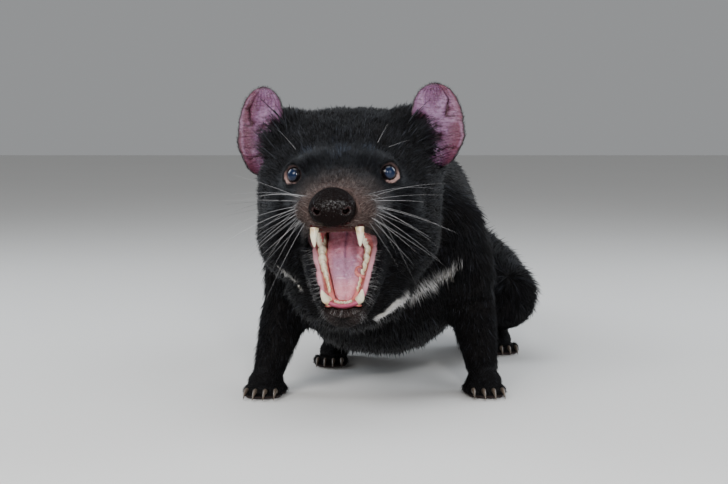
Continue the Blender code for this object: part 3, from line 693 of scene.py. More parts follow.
def markings(points):
    # Shares from 0 to 1 of each marking at these places, the same for skin and coat.
    head, jaw = inFrame(headFrame, points), inFrame(jawFrame, points)
    marks = {}
    ragged = wobble(points, 0.009, 5)
    marks["mouthDepth"] = np.clip(mouthDepth(head, jaw), -5, 5)
    marks["mouth"] = smooth(-0.3, 0.5, marks["mouthDepth"])
    toLip = np.minimum(*[distanceToPath(points, path[4:]) for path in lipPaths.values()]) / mm
    toUpperLip = np.minimum(*[distanceToPath(points, path[2:5]) for path in lipPaths.values()]) / mm
    toLip = np.minimum(toLip, toUpperLip + 1.1)
    marks["lipAway"] = np.minimum(9, toLip + 0.3 * ragged)
    marks["lip"] = 1 - smooth(2.7, 3.4, marks["lipAway"])
    marks["lipIn"] = np.clip(lipSide(head, jaw), -6, 6) * (marks["lipAway"] < 8)
    # painted shade: marks the upper lip under the nose, whose pink is coloured dark red-brown
    marks["upperLipShade"] = smooth(-62, -44, head[:, 2])
    marks["chinLip"] = smooth(35, 45, jaw[:, 1]) * (head[:, 2] < -60)
    # painted shade: the band marks the strip behind the upper lip, under the nose, that is coloured near black
    band = smooth(-36, -41, head[:, 1]) * smooth(13, 10.5, abs(head[:, 0] - mouthShift)) * smooth(-34.6, -35.6, head[:, 2])
    marks["band"] = band * smooth(-48, -45, head[:, 2])
    marks["nearLip"] = 1 - smooth(4, 11, toLip)
    lidAway, eyeRoom, lidUp = np.full(len(points), 99.0), np.full(len(points), 99.0), np.zeros(len(points))
    for side in sides.values():
        local = inFrame(eyeFrame(side), points)
        away = np.hypot(local[:, 0], local[:, 2] / 0.92)
        away = np.where(local[:, 1] < 1, away, 99)
        low = smooth(2, -4, local[:, 2])
        lidAway = np.minimum(lidAway, away - 0.9 * low + 0.6 * wobble(points, 0.0045, 11))
        lidUp = np.where(away < 14, local[:, 2], lidUp)
        eyeRoom = np.minimum(eyeRoom, away)
    marks["lidAway"] = np.minimum(lidAway, 20)
    marks["lidUp"] = lidUp
    marks["lid"] = 1 - smooth(7.0, 8.2, marks["lidAway"])
    marks["eyeRoom"] = eyeRoom
    fromNose = np.linalg.norm((head - (0, -56, -22)) / (1.0, 1.15, 0.86), axis=1)
    marks["fromNose"] = fromNose
    fromSnout = np.linalg.norm((head - (0, -52, -22)) / (1.3, 1.5, 0.82), axis=1)
    chin = np.linalg.norm((jaw - (0, 52, -6)) / (16, 9, 12), axis=1)
    marks["muzzle"] = (1 - smooth(12, 40, fromSnout + 2.0 * ragged)) * (head[:, 1] < 4)
    marks["muzzle"] = np.maximum(marks["muzzle"], 0.45 * (1 - smooth(0.5, 1.2, chin)))
    marks["stripe"] = stripeShare(points)
    marks["pad"] = 1 - smooth(1.2, 2.4, points[:, 2] / mm)
    return marks


def stripeShare(points):
    share = np.full(len(points), 9.0)
    near = np.flatnonzero(np.all((points > stripes[:, :3].min(0) - 0.02) & (points < stripes[:, :3].max(0) + 0.02), axis=1))
    for row in stripes:
        share[near] = np.minimum(share[near], np.linalg.norm(points[near] - row[:3], axis=1) / mm / row[3])
    return 1 - smooth(0.85, 1.15, share + 0.10 * wobble(points, 0.006, 8))


stripeSizes = {
    # pixels of the photograph along the white stripe, and half its width in millimetres
    "long": ((380, 319, 4.2), (389, 313, 5.4), (402, 305, 5.2), (416, 296, 4.6), (430, 287, 4.0), (443, 279, 3.4),
             (455, 272, 2.5), (464, 267, 1.2)),
    "short": ((276, 268, 0.9), (284, 275, 1.8), (293, 282, 1.5), (302, 293, 1.0)),
}


def layStripes():
    # Where sight lines through the stripe's pixels meet the throat and chest.
    points, faces = [], []
    for name in ("chest", "neck", "head", "upper_arm_left", "upper_arm_right"):
        bm = mergedCopy(name)
        start = len(points)
        points += [v.co.copy() for v in bm.verts]
        faces += [[start + v.index for v in f.verts] for f in bm.faces]
        bm.free()
    tree = BVHTree.FromPolygons(points, faces)
    made = []
    for path in stripeSizes.values():
        for x, y, width in flowing(path, 5):
            hit = tree.ray_cast(*pixelRay(x, y))[0]
            if hit:
                made.append((*hit, width))
    return np.array(made)


stripes = layStripes()


def skinBlank():
    bm = bmesh.new()
    for name in fleshNodes:
        part = mergedCopy(name)
        for vert in part.verts:
            vert.co += vert.normal * skinSizes["swell"] * mm
        mesh = bpy.data.meshes.new(name)
        part.to_mesh(mesh)
        part.free()
        bm.from_mesh(mesh)
        bpy.data.meshes.remove(mesh)
    blank = fuse(objectFrom("skin", bm), skinSizes["voxel"], 3)
    clearEyes(blank)
    bm = bmesh.new()
    bm.from_mesh(blank.data)
    addLids(bm)
    addLips(bm)
    addMouthFillers(bm)
    bm.to_mesh(blank.data)
    bm.free()
    return blank


def mouthDepth(head, jaw):
    # How far within the ring of the lips each place is, in millimetres; less than nothing is outside.
    upper = np.array(lipSizes["upper"], float)
    half = np.interp(head[:, 1], upper[:, 1], upper[:, 0])
    roof = np.interp(head[:, 1], upper[:, 1], upper[:, 2]) + 7 * smooth(-52, -44, head[:, 1]) - 1
    above = (half - 1.8 - abs(head[:, 0] - mouthShift), roof - head[:, 2], head[:, 2] + 58, 34 - head[:, 1])
    share = np.clip(jaw[:, 1] / lipSizes["lowerLength"], 0, 1)
    length = lipSizes["lowerLength"] - 1 - jaw[:, 1]
    below = (lowerLipHalf(share) - 1.2 - abs(jaw[:, 0]), jaw[:, 1] + 16, length, jaw[:, 2] + 17, 26 - jaw[:, 2])
    return np.maximum(np.minimum.reduce(above), np.minimum.reduce(below))


def lipSide(head, jaw):
    # How far inwards of the middle of the lip each place is, in millimetres, by the lip that is nearer.
    upper = np.array(lipSizes["upper"], float)
    above = np.interp(head[:, 1], upper[:, 1], upper[:, 0]) - abs(head[:, 0] - mouthShift)
    share = np.clip(jaw[:, 1] / lipSizes["lowerLength"], 0, 1)
    below = np.minimum(lowerLipHalf(share) - abs(jaw[:, 0]), lipSizes["lowerLength"] - jaw[:, 1])
    return np.where(head[:, 2] > lipSizes["upper"][-1][2] + 3, above, below)


def coverShares(places, owners, marks):
    # How much of each kind of coat grows at each place.
    kinds = np.array([partKind(name) for name in fleshNodes])[owners]
    onHead = np.isin(kinds, ("head", "lower_jaw"))
    face = onHead * (1 - smooth(60, 80, marks["fromNose"]))
    legs = np.isin(kinds, ("forearm", "forefoot", "shank", "hindfoot")) * 1.0
    feet = np.isin(kinds, ("forefoot", "hindfoot")) * 1.0
    tail = (kinds == "tail") * 1.0
    near = smooth(0.42, 0.12, places[:, 1] - headPlace.y)  # denser towards the head
    return {
        "coverFace": face,
        "coverHead": onHead * smooth(50, 76, marks["fromNose"]),
        "coverBody": (1 - onHead) * (1 - legs) * (1 - tail) * (0.6 + 0.4 * near),
        "coverLegs": legs * (1 + 1.8 * feet) * (0.6 + 0.4 * near),
        "coverTail": tail,
    }


def makeSkin():
    skin = fuse(skinBlank(), skinSizes["voxel"] * 0.95, skinSizes["rounds"])
    clearEars(skin)
    thinBody(skin)
    mesh = skin.data
    places, edges = pointsOf(mesh), edgesOf(mesh)
    head, jaw = inFrame(headFrame, places), inFrame(jawFrame, places)
    owners = nearestPart(places)
    kinds = [coatTable[partKind(name)] for name in fleshNodes]
    depth = np.array([k[0] for k in kinds])[owners]
    hair = np.array([k[1] for k in kinds])[owners]
    lie = np.array([k[2] or (0, 0, 0) for k in kinds])[owners]
    marks = markings(places)
    # The head's coat lies away from the nose and the jaw's away from the chin, back over the throat.
    turn = np.array(headFrame)[:3, :3]
    jawTurn = np.array(jawFrame)[:3, :3]
    fromNose = unit((head - (0, -34, -30)) * (1, 1, 1.15) + (0, 14, 0)) @ turn.T
    fromChin = unit(np.stack([jaw[:, 0] * 1.6, -20 - 0 * jaw[:, 0], -14 + 0.3 * jaw[:, 2]], 1)) @ jawTurn.T
    isHead, isJaw = owners == fleshNodes.index("head"), owners == fleshNodes.index("lower_jaw")
    lie[isHead], lie[isJaw] = fromNose[isHead], fromChin[isJaw]
    onFace = (isHead | isJaw) * 1.0
    bare = np.maximum.reduce([marks["mouth"], marks["lip"], marks["lid"]])
    nearness = smooth(18, 75, marks["fromNose"])
    depth = np.where(onFace > 0, depth * (0.12 + 0.88 * nearness) + 1.6 * smooth(60, 100, head[:, 1]), depth)
    hair = np.where(onFace > 0, hair * (0.44 + 0.56 * smooth(18, 62, marks["fromNose"])) + 3.5 * smooth(45, 95, head[:, 1]), hair)
    hair = np.where(isJaw, 3.2 + 2.5 * smooth(50, 0, jaw[:, 1]), hair)
    tailEnd = smooth(0.62 + headPlace.y, 0.68 + headPlace.y, places[:, 1])
    depth *= 1 - 0.75 * tailEnd
    depth, hair, lie = spread(edges, depth, 12), spread(edges, hair, 12), spread(edges, lie, 14)
    depth *= 1 - 0.9 * spread(edges, bare, 2)
    hair *= 1 - 0.3 * spread(edges, marks["stripe"], 8)
    depth *= smooth(7.5, 17, marks["eyeRoom"]) * 0.9 + 0.1
    hair *= 0.6 + 0.4 * smooth(8, 20, marks["eyeRoom"])
    normals = normalsOf(mesh)
    lie = unit(lie - normals * np.sum(lie * normals, 1, keepdims=True))
    cover = (1 - np.clip(bare * 1.6, 0, 1)) * smooth(7.5, 9.2, marks["eyeRoom"]) * (1 - marks["pad"])
    cover *= 0.16 + 0.84 * smooth(22, 46, marks["fromNose"])
    cover[marks["fromNose"] < 15.5] = 0
    earTuft = np.zeros(len(places))
    for side in sides.values():
        outward, high, ahead = nearEar(head, side)
        cover *= 1 - smooth(-0.82, -0.68, outward) * smooth(1.1, 0.95, outward) * smooth(0.02, 0.1, high) * smooth(4, 1, ahead) * (ahead > -9)
        lobe, up, outwards, front, height = earAxes(side)
        root = lobe + up * height * 0.36 - outwards * 15 + front * 3
        near = np.exp(-(((head - root) @ up / 9) ** 2) - (((head - root) @ outwards / 6) ** 2) - (((head - root) @ front / 16) ** 2))
        earTuft = np.maximum(earTuft, near)
        way = (outwards * 1.2 + front * 0.15 - up * 0.1) @ turn.T
        lie = lie * (1 - 0.85 * near[:, None]) + 0.85 * near[:, None] * way
    lie = unit(lie - normals * np.sum(lie * normals, 1, keepdims=True))
    inward = unit(spread(edges, normals, 3))
    setPoints(mesh, places - inward * (depth * mm)[:, None])
    setValues(mesh, "cover", cover)
    setValues(mesh, "hair", hair)
    setValues(mesh, "lie", lie)
    setValues(mesh, "part", owners.astype(float))
    for name in ("mouthDepth", "lipAway", "lipIn", "upperLipShade", "chinLip", "band", "lidAway", "lidUp", "muzzle", "stripe", "pad"):
        setValues(mesh, name, marks[name])
    setValues(mesh, "coverEarTuft", earTuft * (cover > 0.2))
    for name, share in coverShares(places, owners, marks).items():
        setValues(mesh, name, share * cover)
    mesh.shade_smooth()
    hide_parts(*fleshNodes)
    return skin


def skinFinish():
    look = Finish("bareSkin", Roughness=0.6, IOR=1.42, Specular_IOR_Level=0.1, Coat_Roughness=0.12)
    fine = look.noise(900, 2)
    blotch = look.noise(130, 3)
    hide = look.mix(blotch, (0.002, 0.0019, 0.002), (0.007, 0.006, 0.006))
    brown = look.mix(blotch, (0.036, 0.024, 0.022), (0.105, 0.07, 0.062))
    brown = look.mix(look.between(fine, 0.45, 0.7), brown, (0.024, 0.016, 0.015))
    pink = look.mix(blotch, (0.44, 0.19, 0.23), (0.60, 0.32, 0.37))
    pink = look.mix(look.between(fine, 0.55, 0.75, 0, 0.5), pink, (0.42, 0.11, 0.15))
    pink = look.mix(look.value("chinLip"), pink, look.mix(fine, (0.24, 0.03, 0.07), (0.42, 0.09, 0.15)))
    inwards = look.value("lipIn")
    # painted shade: the upper lip's pink turns dark red-brown under the nose
    pink = look.mix(look.math("MULTIPLY", look.value("upperLipShade"), 0.8), pink, (0.095, 0.036, 0.038))
    rim = look.math("MULTIPLY", look.between(inwards, -1.2, -2.5), look.between(look.value("chinLip"), 0, 1, 0.85, 0.1))
    pink = look.mix(rim, pink, (0.03, 0.017, 0.017))
    lidPink = look.mix(look.noise(420, 3), (0.10, 0.05, 0.045), (0.42, 0.29, 0.265))
    lidPink = look.mix(look.between(look.value("lidUp"), -3.0, 3.5, 0.0, 0.92), lidPink, (0.022, 0.013, 0.013))
    lining = look.mix(blotch, (0.17, 0.028, 0.028), (0.40, 0.13, 0.125))
    lining = look.mix(look.between(look.noise(260, 3), 0.5, 0.7, 0, 0.6), lining, (0.44, 0.21, 0.24))
    # painted shade: the strip under the nose turns near black
    lining = look.mix(look.value("band"), lining, (0.035, 0.004, 0.003))
    inMouth = look.between(look.value("mouthDepth"), -0.4, 0.4)
    onLip = look.between(look.value("lipAway"), 3.3, 2.6)
    colour = look.mix(look.value("muzzle"), hide, brown)
    colour = look.mix(look.value("stripe"), colour, (0.5, 0.47, 0.43))
    colour = look.mix(look.value("pad"), colour, (0.05, 0.035, 0.033))
    colour = look.mix(look.between(look.value("lidAway"), 8.0, 6.4), colour, lidPink)
    colour = look.mix(inMouth, colour, lining)
    colour = look.mix(look.math("MULTIPLY", onLip, look.between(inwards, 1.9, 0.7)), colour, pink)
    wet = look.math("MAXIMUM", inMouth, onLip)
    rough = look.between(wet, 0, 1, 0.68, 0.3)
    rough = look.math("ADD", rough, look.math("MULTIPLY", fine, 0.12))
    shine = look.math("MULTIPLY", wet, look.between(look.value("band"), 0, 1, 0.5, 0.08))
    pores = look.cells(1100)
    normal = look.bump(pores, 0.0004, 0.6)
    normal = look.bump(look.noise(420, 4), 0.0006, 0.6, normal)
    return look.give(Base_Color=colour, Roughness=rough, Normal=normal, Coat_Weight=shine)


skin = makeSkin()
paint(skin, skinFinish())
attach(skin, bodyName)
print("skin done,", trianglesIn(skin.data), "triangles")


# Coat

# For each kind of coat: tufts in a piece, pieces, sides along a tuft, length in millimetres before the place's
# own hair length is applied, width over length, rise off the skin, bend back to it, waver of the lie
coatKinds = {
    "Face": (40000, 2, 1, 1.2, 0.068, 0.27, 0.0, 0.24),
    "Head": (14000, 1, 2, 1.1, 0.075, 0.36, 0.16, 0.25),
    "HeadFine": (36000, 1, 1, 0.9, 0.060, 0.22, 0.0, 0.28),
    "Body": (18500, 1, 2, 1.1, 0.075, 0.36, 0.15, 0.22),
    "BodyFine": (41000, 2, 1, 0.85, 0.066, 0.20, 0.0, 0.26),
    "Legs": (34000, 1, 1, 1.0, 0.08, 0.24, 0.0, 0.20),
    "Tail": (20000, 1, 1, 1.0, 0.07, 0.24, 0.0, 0.22),
    "EarTuft": (2400, 1, 2, 4.0, 0.028, 0.42, 0.14, 0.26),
    "Ear": (7000, 1, 1, 1.0, 0.09, 0.22, 0.0, 0.22),
}


class Growth(NodeMaker):
    # A Geometry Nodes tree, its named inputs, and the call that grows it on an object.
    kinds = {float: "NodeSocketFloat", int: "NodeSocketInt", str: "NodeSocketString", tuple: "NodeSocketVector"}

    def __init__(self, name, **values):
        self.tree = bpy.data.node_groups.new(name, "GeometryNodeTree")
        face = self.tree.interface
        face.new_socket("Geometry", in_out="INPUT", socket_type="NodeSocketGeometry")
        face.new_socket("Material", in_out="INPUT", socket_type="NodeSocketMaterial")
        face.new_socket("Geometry", in_out="OUTPUT", socket_type="NodeSocketGeometry")
        for key, value in values.items():
            face.new_socket(key, in_out="INPUT", socket_type=self.kinds[type(value)]).default_value = value
        self.given = self.node("NodeGroupInput").outputs
        self.answer = self.node("NodeGroupOutput")

    def named(self, name, kind="FLOAT"):
        made = self.node("GeometryNodeInputNamedAttribute", data_type=kind)
        self.feed(made, {"Name": name})
        return made.outputs["Attribute"]

    def random(self, low, high, seed, kind="FLOAT"):
        made = self.node("FunctionNodeRandomValue", data_type=kind)
        ends = [s for s in made.inputs if s.enabled and s.name in ("Min", "Max")]
        ends[0].default_value, ends[1].default_value = low, high
        self.feed(made, {"Seed": seed})
        return next(s for s in made.outputs if s.enabled)

    def noise(self, scale, where=None):
        made = self.node("ShaderNodeTexNoise")
        self.feed(made, {"Scale": scale, "Detail": 1.0})
        if where:
            self.link(where, made.inputs["Vector"])
        return made.outputs["Color"]

    def finish(self, geometry):
        real = self.node("GeometryNodeRealizeInstances")
        coat = self.node("GeometryNodeSetMaterial")
        self.link(geometry, real.inputs[0])
        self.feed(coat, {"Geometry": real.outputs[0], "Material": self.given["Material"]})
        self.link(coat.outputs[0], self.answer.inputs[0])

    def grow(self, name, source, material, **values):
        # The plain mesh that the tree makes from a copy of the source object.
        obj = newObject(name, source.data.copy())
        step = obj.modifiers.new("growth", "NODES")
        step.node_group = self.tree
        keys = {s.name: s.identifier for s in self.tree.interface.items_tree if s.in_out == "INPUT"}
        step[keys["Material"]] = material
        for key, value in values.items():
            step[keys[key]] = value
        return settle(obj)


def makeTuftTree():
    tree = Growth("tufts", Cover="coverBody", Lie="lie", Density=1.0, Seed=0, Segments=2, Length=0.001, Width=0.08, Rise=0.4,
                  Bend=0.15, Waver=0.25)
    given = tree.given
    points = tree.node("GeometryNodeDistributePointsOnFaces", distribute_method="RANDOM")
    density = tree.math("MULTIPLY", given["Density"], tree.named(given["Cover"]))
    tree.feed(points, {"Mesh": given["Geometry"], "Density": density, "Seed": given["Seed"]})
    normal = points.outputs["Normal"]
    sway = tree.vector("ADD", tree.noise(70), tree.noise(260))
    sway = tree.vector("SUBTRACT", sway, (1, 1, 1))
    jitter = tree.random((-0.6, -0.6, -0.6), (0.6, 0.6, 0.6), 3, "FLOAT_VECTOR")
    sway = tree.vector("SCALE", tree.vector("ADD", tree.vector("SCALE", sway, scale=3.2), jitter), scale=given["Waver"])
    lie = tree.vector("ADD", tree.named(given["Lie"], "FLOAT_VECTOR"), sway)
    rise = tree.math("MULTIPLY", given["Rise"], tree.random(0.6, 1.35, 4))
    way = tree.vector("ADD", tree.vector("NORMALIZE", lie), tree.vector("SCALE", normal, scale=rise))
    turn = tree.node("FunctionNodeAxesToRotation", primary_axis="Z", secondary_axis="X")
    tree.feed(turn, {"Primary Axis": way, "Secondary Axis": normal})
    cone = tree.node("GeometryNodeMeshCone", fill_type="NGON")
    tree.feed(cone, {"Vertices": 3, "Side Segments": given["Segments"], "Radius Top": 0.0, "Depth": 1.0})
    tree.feed(cone, {"Radius Bottom": tree.math("MULTIPLY", given["Width"], 0.5)})
    spot = tree.node("ShaderNodeSeparateXYZ")
    tree.feed(spot, {0: tree.node("GeometryNodeInputPosition").outputs[0]})
    x, y, z = spot.outputs
    # Flattened, fuller in the middle, and bent back to the skin.
    fuller = tree.math("ADD", 1.0, tree.math("MULTIPLY", z, tree.math("SUBTRACT", 1.6, tree.math("MULTIPLY", z, 1.6))))
    drop = tree.math("MULTIPLY", given["Bend"], tree.math("MULTIPLY", z, z))
    shaped = tree.node("ShaderNodeCombineXYZ")
    x = tree.math("MULTIPLY", tree.math("MULTIPLY", x, 0.5), fuller)
    tree.feed(shaped, {0: tree.math("SUBTRACT", x, drop), 1: tree.math("MULTIPLY", y, fuller), 2: z})
    tuft = tree.node("GeometryNodeSetPosition")
    tree.feed(tuft, {"Geometry": cone.outputs["Mesh"], "Position": shaped.outputs[0]})
    size = tree.math("MULTIPLY", tree.named("hair"), given["Length"])
    size = tree.math("MULTIPLY", size, tree.random(0.65, 1.2, 5))
    spread = tree.node("GeometryNodeInstanceOnPoints")
    tree.feed(spread, {"Points": points.outputs["Points"], "Instance": tuft.outputs[0]})
    tree.feed(spread, {"Rotation": turn.outputs[0], "Scale": size})
    tree.finish(spread.outputs[0])
    return tree


def bakeMap(mesh, roots, owners, count, layout):
    # Each tuft is a small patch at its root's place on a wrapped-round chart of the part that it grows on.
    chart = np.zeros((len(roots), 2))
    for number, name in enumerate(fleshNodes):
        mine = owners == number
        low, high = (np.array(corner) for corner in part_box(name))
        long = int(np.argmax(high - low))
        a, b = [axis for axis in range(3) if axis != long]
        local = (roots[mine] - (low + high) / 2) / np.maximum(high - low, 1e-6)
        across = np.arctan2(local[:, b], local[:, a]) / (2 * math.pi) + 0.5
        chart[mine, 0] = (number % 5 + 0.04 + 0.92 * across) / 5
        chart[mine, 1] = (number // 5 + 0.04 + 0.92 * np.clip(local[:, long] + 0.5, 0, 1)) / 4
    corners = np.empty(len(mesh.loops), np.int32)
    mesh.loops.foreach_get("vertex_index", corners)
    spots = chart[corners // count] + 0.003 * layout[corners % count]
    while mesh.uv_layers:
        mesh.uv_layers.remove(mesh.uv_layers[0])
    mesh.uv_layers.new(name="OFBake").data.foreach_set("uv", spots.astype(np.float32).ravel())


def dressTufts(obj, count, seed):
    # Gives each tuft its markings, its own shade, its share from root to tip, and its place in the bake map.
    mesh = obj.data
    kept = ("position", "sharp_face", "material_index")
    for name in [a.name for a in mesh.attributes if a.name not in kept and not a.name.startswith(".")]:
        mesh.attributes.remove(mesh.attributes[name])
    places = pointsOf(mesh).reshape(-1, count, 3)
    inTuft = {4: (1, 0, 0, 0), 7: (1, 0.5, 0.5, 0.5, 0, 0, 0)}[count]
    layout = {4: ((0.5, 1), (0, 0), (1, 0), (0.5, 0.15))}
    layout[7] = ((0.5, 1), (0.15, 0.5), (0.85, 0.5), (0.5, 0.6), (0, 0), (1, 0), (0.5, 0.15))
    roots = places[:, -3:].mean(1)
    owners = nearestPart(roots)
    bakeMap(mesh, roots, owners, count, np.array(layout[count]))
    marks = markings(roots)
    spots = places.reshape(-1, 3)
    soft = stripeShare(spots)
    rng = np.random.default_rng(seed)
    own = rng.random(len(roots))
    head = inFrame(headFrame, roots)
    grey = np.zeros(len(roots))
    for spot, size, most in greySheenSpots:
        away = np.linalg.norm((head - spot) / size, axis=1)
        grey = np.maximum(grey, most * (1 - smooth(0.3, 1, away)))
    values = {"muzzle": marks["muzzle"], "shade": own, "grey": grey > rng.random(len(roots))}
    for name, value in values.items():
        setValues(mesh, name, np.repeat(value, count))
    setValues(mesh, "stripe", 0.25 * np.repeat(marks["stripe"], count) + 0.75 * soft)
    setValues(mesh, "tip", np.tile(np.array(inTuft, float), len(roots)))
    mesh.shade_smooth()
    return roots


# Where short hairs are coloured bluish grey among the black, partly real grey hair and partly painted sheen: head
# points, reach in each direction, and their share
greySheenSpots = (
    ((-22.5, 2, 13.5), (8, 26, 6), 0.24),
    ((17.5, 2, 14), (8, 26, 6), 0.24),
    ((-0.5, 0, 11), (8, 26, 9), 0.2),
    ((0, -40, 2), (12, 20, 10), 0.05),
    ((0, 0, 30), (45, 45, 30), 0.012),
)


def coatFinish():
    look = Finish("coat", IOR=1.5, Specular_IOR_Level=0.13)
    shade, tip = look.value("shade"), look.value("tip")
    black = look.mix(shade, (0.0010, 0.0009, 0.0010), (0.0054, 0.0047, 0.0052))
    patch = look.between(look.noise(28, 3), 0.45, 0.75)
    black = look.mix(look.math("MULTIPLY", patch, 0.4), black, (0.009, 0.006, 0.0045))
    # painted sheen: each tuft turns bluish towards its tip
    black = look.mix(look.math("MULTIPLY", tip, 0.25), black, (0.010, 0.012, 0.018))
    # painted highlight: a few hairs at random are set pale bluish grey as glints
    black = look.mix(look.between(shade, 0.90, 0.93), black, (0.034, 0.036, 0.044))
    brown = look.mix(shade, (0.030, 0.020, 0.018), (0.13, 0.09, 0.078))
    brown = look.mix(look.between(shade, 0.8, 0.85), brown, (0.27, 0.22, 0.20))
    # partly painted sheen: bluish grey, lighter towards the tip
    grey = look.mix(tip, (0.012, 0.016, 0.028), (0.07, 0.085, 0.12))
    white = look.mix(shade, (0.55, 0.53, 0.51), (0.82, 0.81, 0.81))
    colour = look.mix(look.value("muzzle"), black, brown)
    colour = look.mix(look.value("grey"), colour, grey)
    colour = look.mix(look.value("stripe"), colour, white)
    rough = look.between(shade, 0, 1, 0.36, 0.5)
    return look.give(Base_Color=colour, Roughness=rough)


def coverArea(mesh, name):
    # The area in square metres, counted by how much of the coat it carries.
    mesh.calc_loop_triangles()
    corners = np.empty(len(mesh.loop_triangles) * 3, np.int32)
    mesh.loop_triangles.foreach_get("vertices", corners)
    corners = corners.reshape(-1, 3)
    places = pointsOf(mesh)[corners]
    share = np.empty(len(mesh.vertices), np.float32)
    mesh.attributes[name].data.foreach_get("value", share)
    area = np.linalg.norm(np.cross(places[:, 1] - places[:, 0], places[:, 2] - places[:, 0]), axis=1) / 2
    return float(np.sum(area * share[corners].mean(1)))


def coatPiece(name, source, kind, piece, cover, tree, material):
    count, pieces, segments, length, width, rise, bend, waver = coatKinds[kind]
    seed = 10 * list(coatKinds).index(kind) + piece
    density = count / coverArea(source.data, cover)
    made = tree.grow(name, source, material, Cover=cover, Density=density, Seed=seed, Segments=segments,
                     Length=length * mm, Width=width, Rise=rise, Bend=bend, Waver=waver)
    dressTufts(made, 3 * segments + 1, seed)
    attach(made, bodyName)
    return trianglesIn(made.data)


coatTree, coatMaterial = makeTuftTree(), coatFinish()


def makeCoat():
    total = 0
    for kind, row in coatKinds.items():
        if kind == "Ear":
            continue
        for piece in range(row[1]):
            cover = "cover" + kind.removesuffix("Fine")
            total += coatPiece(f"coat{kind}{piece + 1}", skin, kind, piece, cover, coatTree, coatMaterial)
    print("coat done,", total, "triangles")


makeCoat()


# Eyes

eyeSizes = {
    "radius": 7.6,
    "corneaReach": 40,  # degrees from the gaze
    "corneaRise": 0.7,
    "pupil": 30,
    "iris": 52,
}


def makeEye(name, side):
    bm = bmesh.new()
    bmesh.ops.create_uvsphere(bm, u_segments=64, v_segments=48, radius=1)
    gaze = Vector((0, -1, 0))
    bm.transform(turned(90, "X"))
    angles = []
    for vert in bm.verts:
        angle = math.degrees(vert.co.angle(gaze))
        bulge = eyeSizes["corneaRise"] * max(0, math.cos(math.radians(90 * min(1, angle / eyeSizes["corneaReach"]))))
        angles.append(angle)
        vert.co *= (eyeSizes["radius"] + bulge) * mm
    bm.transform(eyeFrame(side))
    eye = objectFrom("eyeball_" + name, bm)
    setValues(eye.data, "gaze", np.array(angles))
    eye.data.shade_smooth()
    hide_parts("eye_" + name)
    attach(eye, bodyName)
    return eye


def eyeFinish():
    look = Finish("eyeWet", Roughness=0.05, IOR=1.36, Specular_IOR_Level=0.3, Coat_Weight=0.25, Coat_Roughness=0.01)
    gaze = look.value("gaze")
    glintNoise = look.noise(500, 3)
    # painted reflection: the pupil is coloured dark blue in patches, as a reflected glint
    pupil = look.mix(glintNoise, (0.0015, 0.004, 0.014), (0.005, 0.015, 0.05))
    iris = look.mix(look.noise(1500, 2), (0.002, 0.002, 0.003), (0.010, 0.007, 0.007))
    white = (0.012, 0.008, 0.008)
    colour = look.mix(look.between(gaze, eyeSizes["pupil"] - 9, eyeSizes["pupil"] + 6), pupil, iris)
    colour = look.mix(look.between(gaze, eyeSizes["iris"] - 3, eyeSizes["iris"] + 3), colour, white)
    return look.give(Base_Color=colour)


eyeMaterial = eyeFinish()
for sideName, sideSign in sides.items():
    paint(makeEye(sideName, sideSign), eyeMaterial)
print("eyes done")


# Nose

noseShapes = {
    "centre": (-1.3, -58.5, -23.0),
    "half": (15.2, 9.8, 13.2),
    "flat": 0.62,  # how flat its face is, 1 for round
    "topSlope": 4.2,
    # half the width at heights from the bottom to the top, as shares
    "outline": ((-1, 0.96), (-0.62, 1.02), (-0.25, 1.03), (0.25, 1.0), (0.6, 0.97), (1, 0.96)),
    "wet": ((1.5, -21.5), (11, 2.6)),  # middle and reach of the wet band across it
    "nostrils": (
        ((9.3, -67.2, -26.0), (2.1, 5.0, 1.6), (0, 28, 18)),
        ((11.3, -65.8, -24.6), (1.9, 5.0, 0.75), (0, 55, 35)),
    ),
    "groove": ((0, -70.2, -31.5), (0.45, 3.0, 5.0)),
    "voxel": 0.4,
}


def makeNose():
    bm = bmesh.new()
    bmesh.ops.create_uvsphere(bm, u_segments=96, v_segments=64, radius=1)
    heights, widths = np.array(noseShapes["outline"]).T
    halfX, halfY, halfZ = noseShapes["half"]
    for vert in bm.verts:
        x, y, z = vert.co
        ahead = math.copysign(abs(y) ** noseShapes["flat"], y) if y < 0 else y
        slope = noseShapes["topSlope"] * float(smooth(0.1, 0.95, z)) ** 1.3
        crease = 0.5 * math.exp(-(((z - 0.28) / 0.07) ** 2))
        centre = Vector((x * halfX * float(np.interp(z, heights, widths)), ahead * halfY + slope + crease, z * halfZ))
        vert.co = place(centre + Vector(noseShapes["centre"]), headFrame)
    nose = objectFrom("nosePad", bm)
    bm = bmesh.new()
    noseFrame = headFrame @ shifted((noseShapes["centre"][0], 0, 0))
    for shape in noseShapes["nostrils"]:
        pairOfEllipsoids(bm, *shape, matrix=noseFrame, segments=20)
    ellipsoid(bm, *noseShapes["groove"], matrix=noseFrame, segments=20)
    cut(nose, fuse(objectFrom("noseCuts", bm), noseShapes["voxel"], 1))
    fuse(nose, noseShapes["voxel"], 4)
    local = inFrame(noseFrame, pointsOf(nose.data))
    hole = np.full(len(local), 9.0)
    for centre, radii, turn in noseShapes["nostrils"]:
        for side in sides.values():
            hole = np.minimum(hole, np.linalg.norm((local - (side * centre[0], *centre[1:])) / (2.7, 8, 2.3), axis=1))
    setValues(nose.data, "hole", 1 - smooth(0.6, 1.05, hole))
    (x, z), (wide, tall) = noseShapes["wet"]
    band = np.exp(-(((local[:, 0] - x) / wide) ** 4) - ((local[:, 2] - z - 0.012 * local[:, 0] ** 2) / tall) ** 2)
    setValues(nose.data, "wet", np.maximum(band, 0.7 * (1 - smooth(0.9, 1.5, hole))))
    # painted shade: the deep mark darkens the nostrils the further back they go
    setValues(nose.data, "deep", smooth(-66.6, -64.2, local[:, 1]))
    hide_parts("nose")
    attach(nose, bodyName)
    return nose


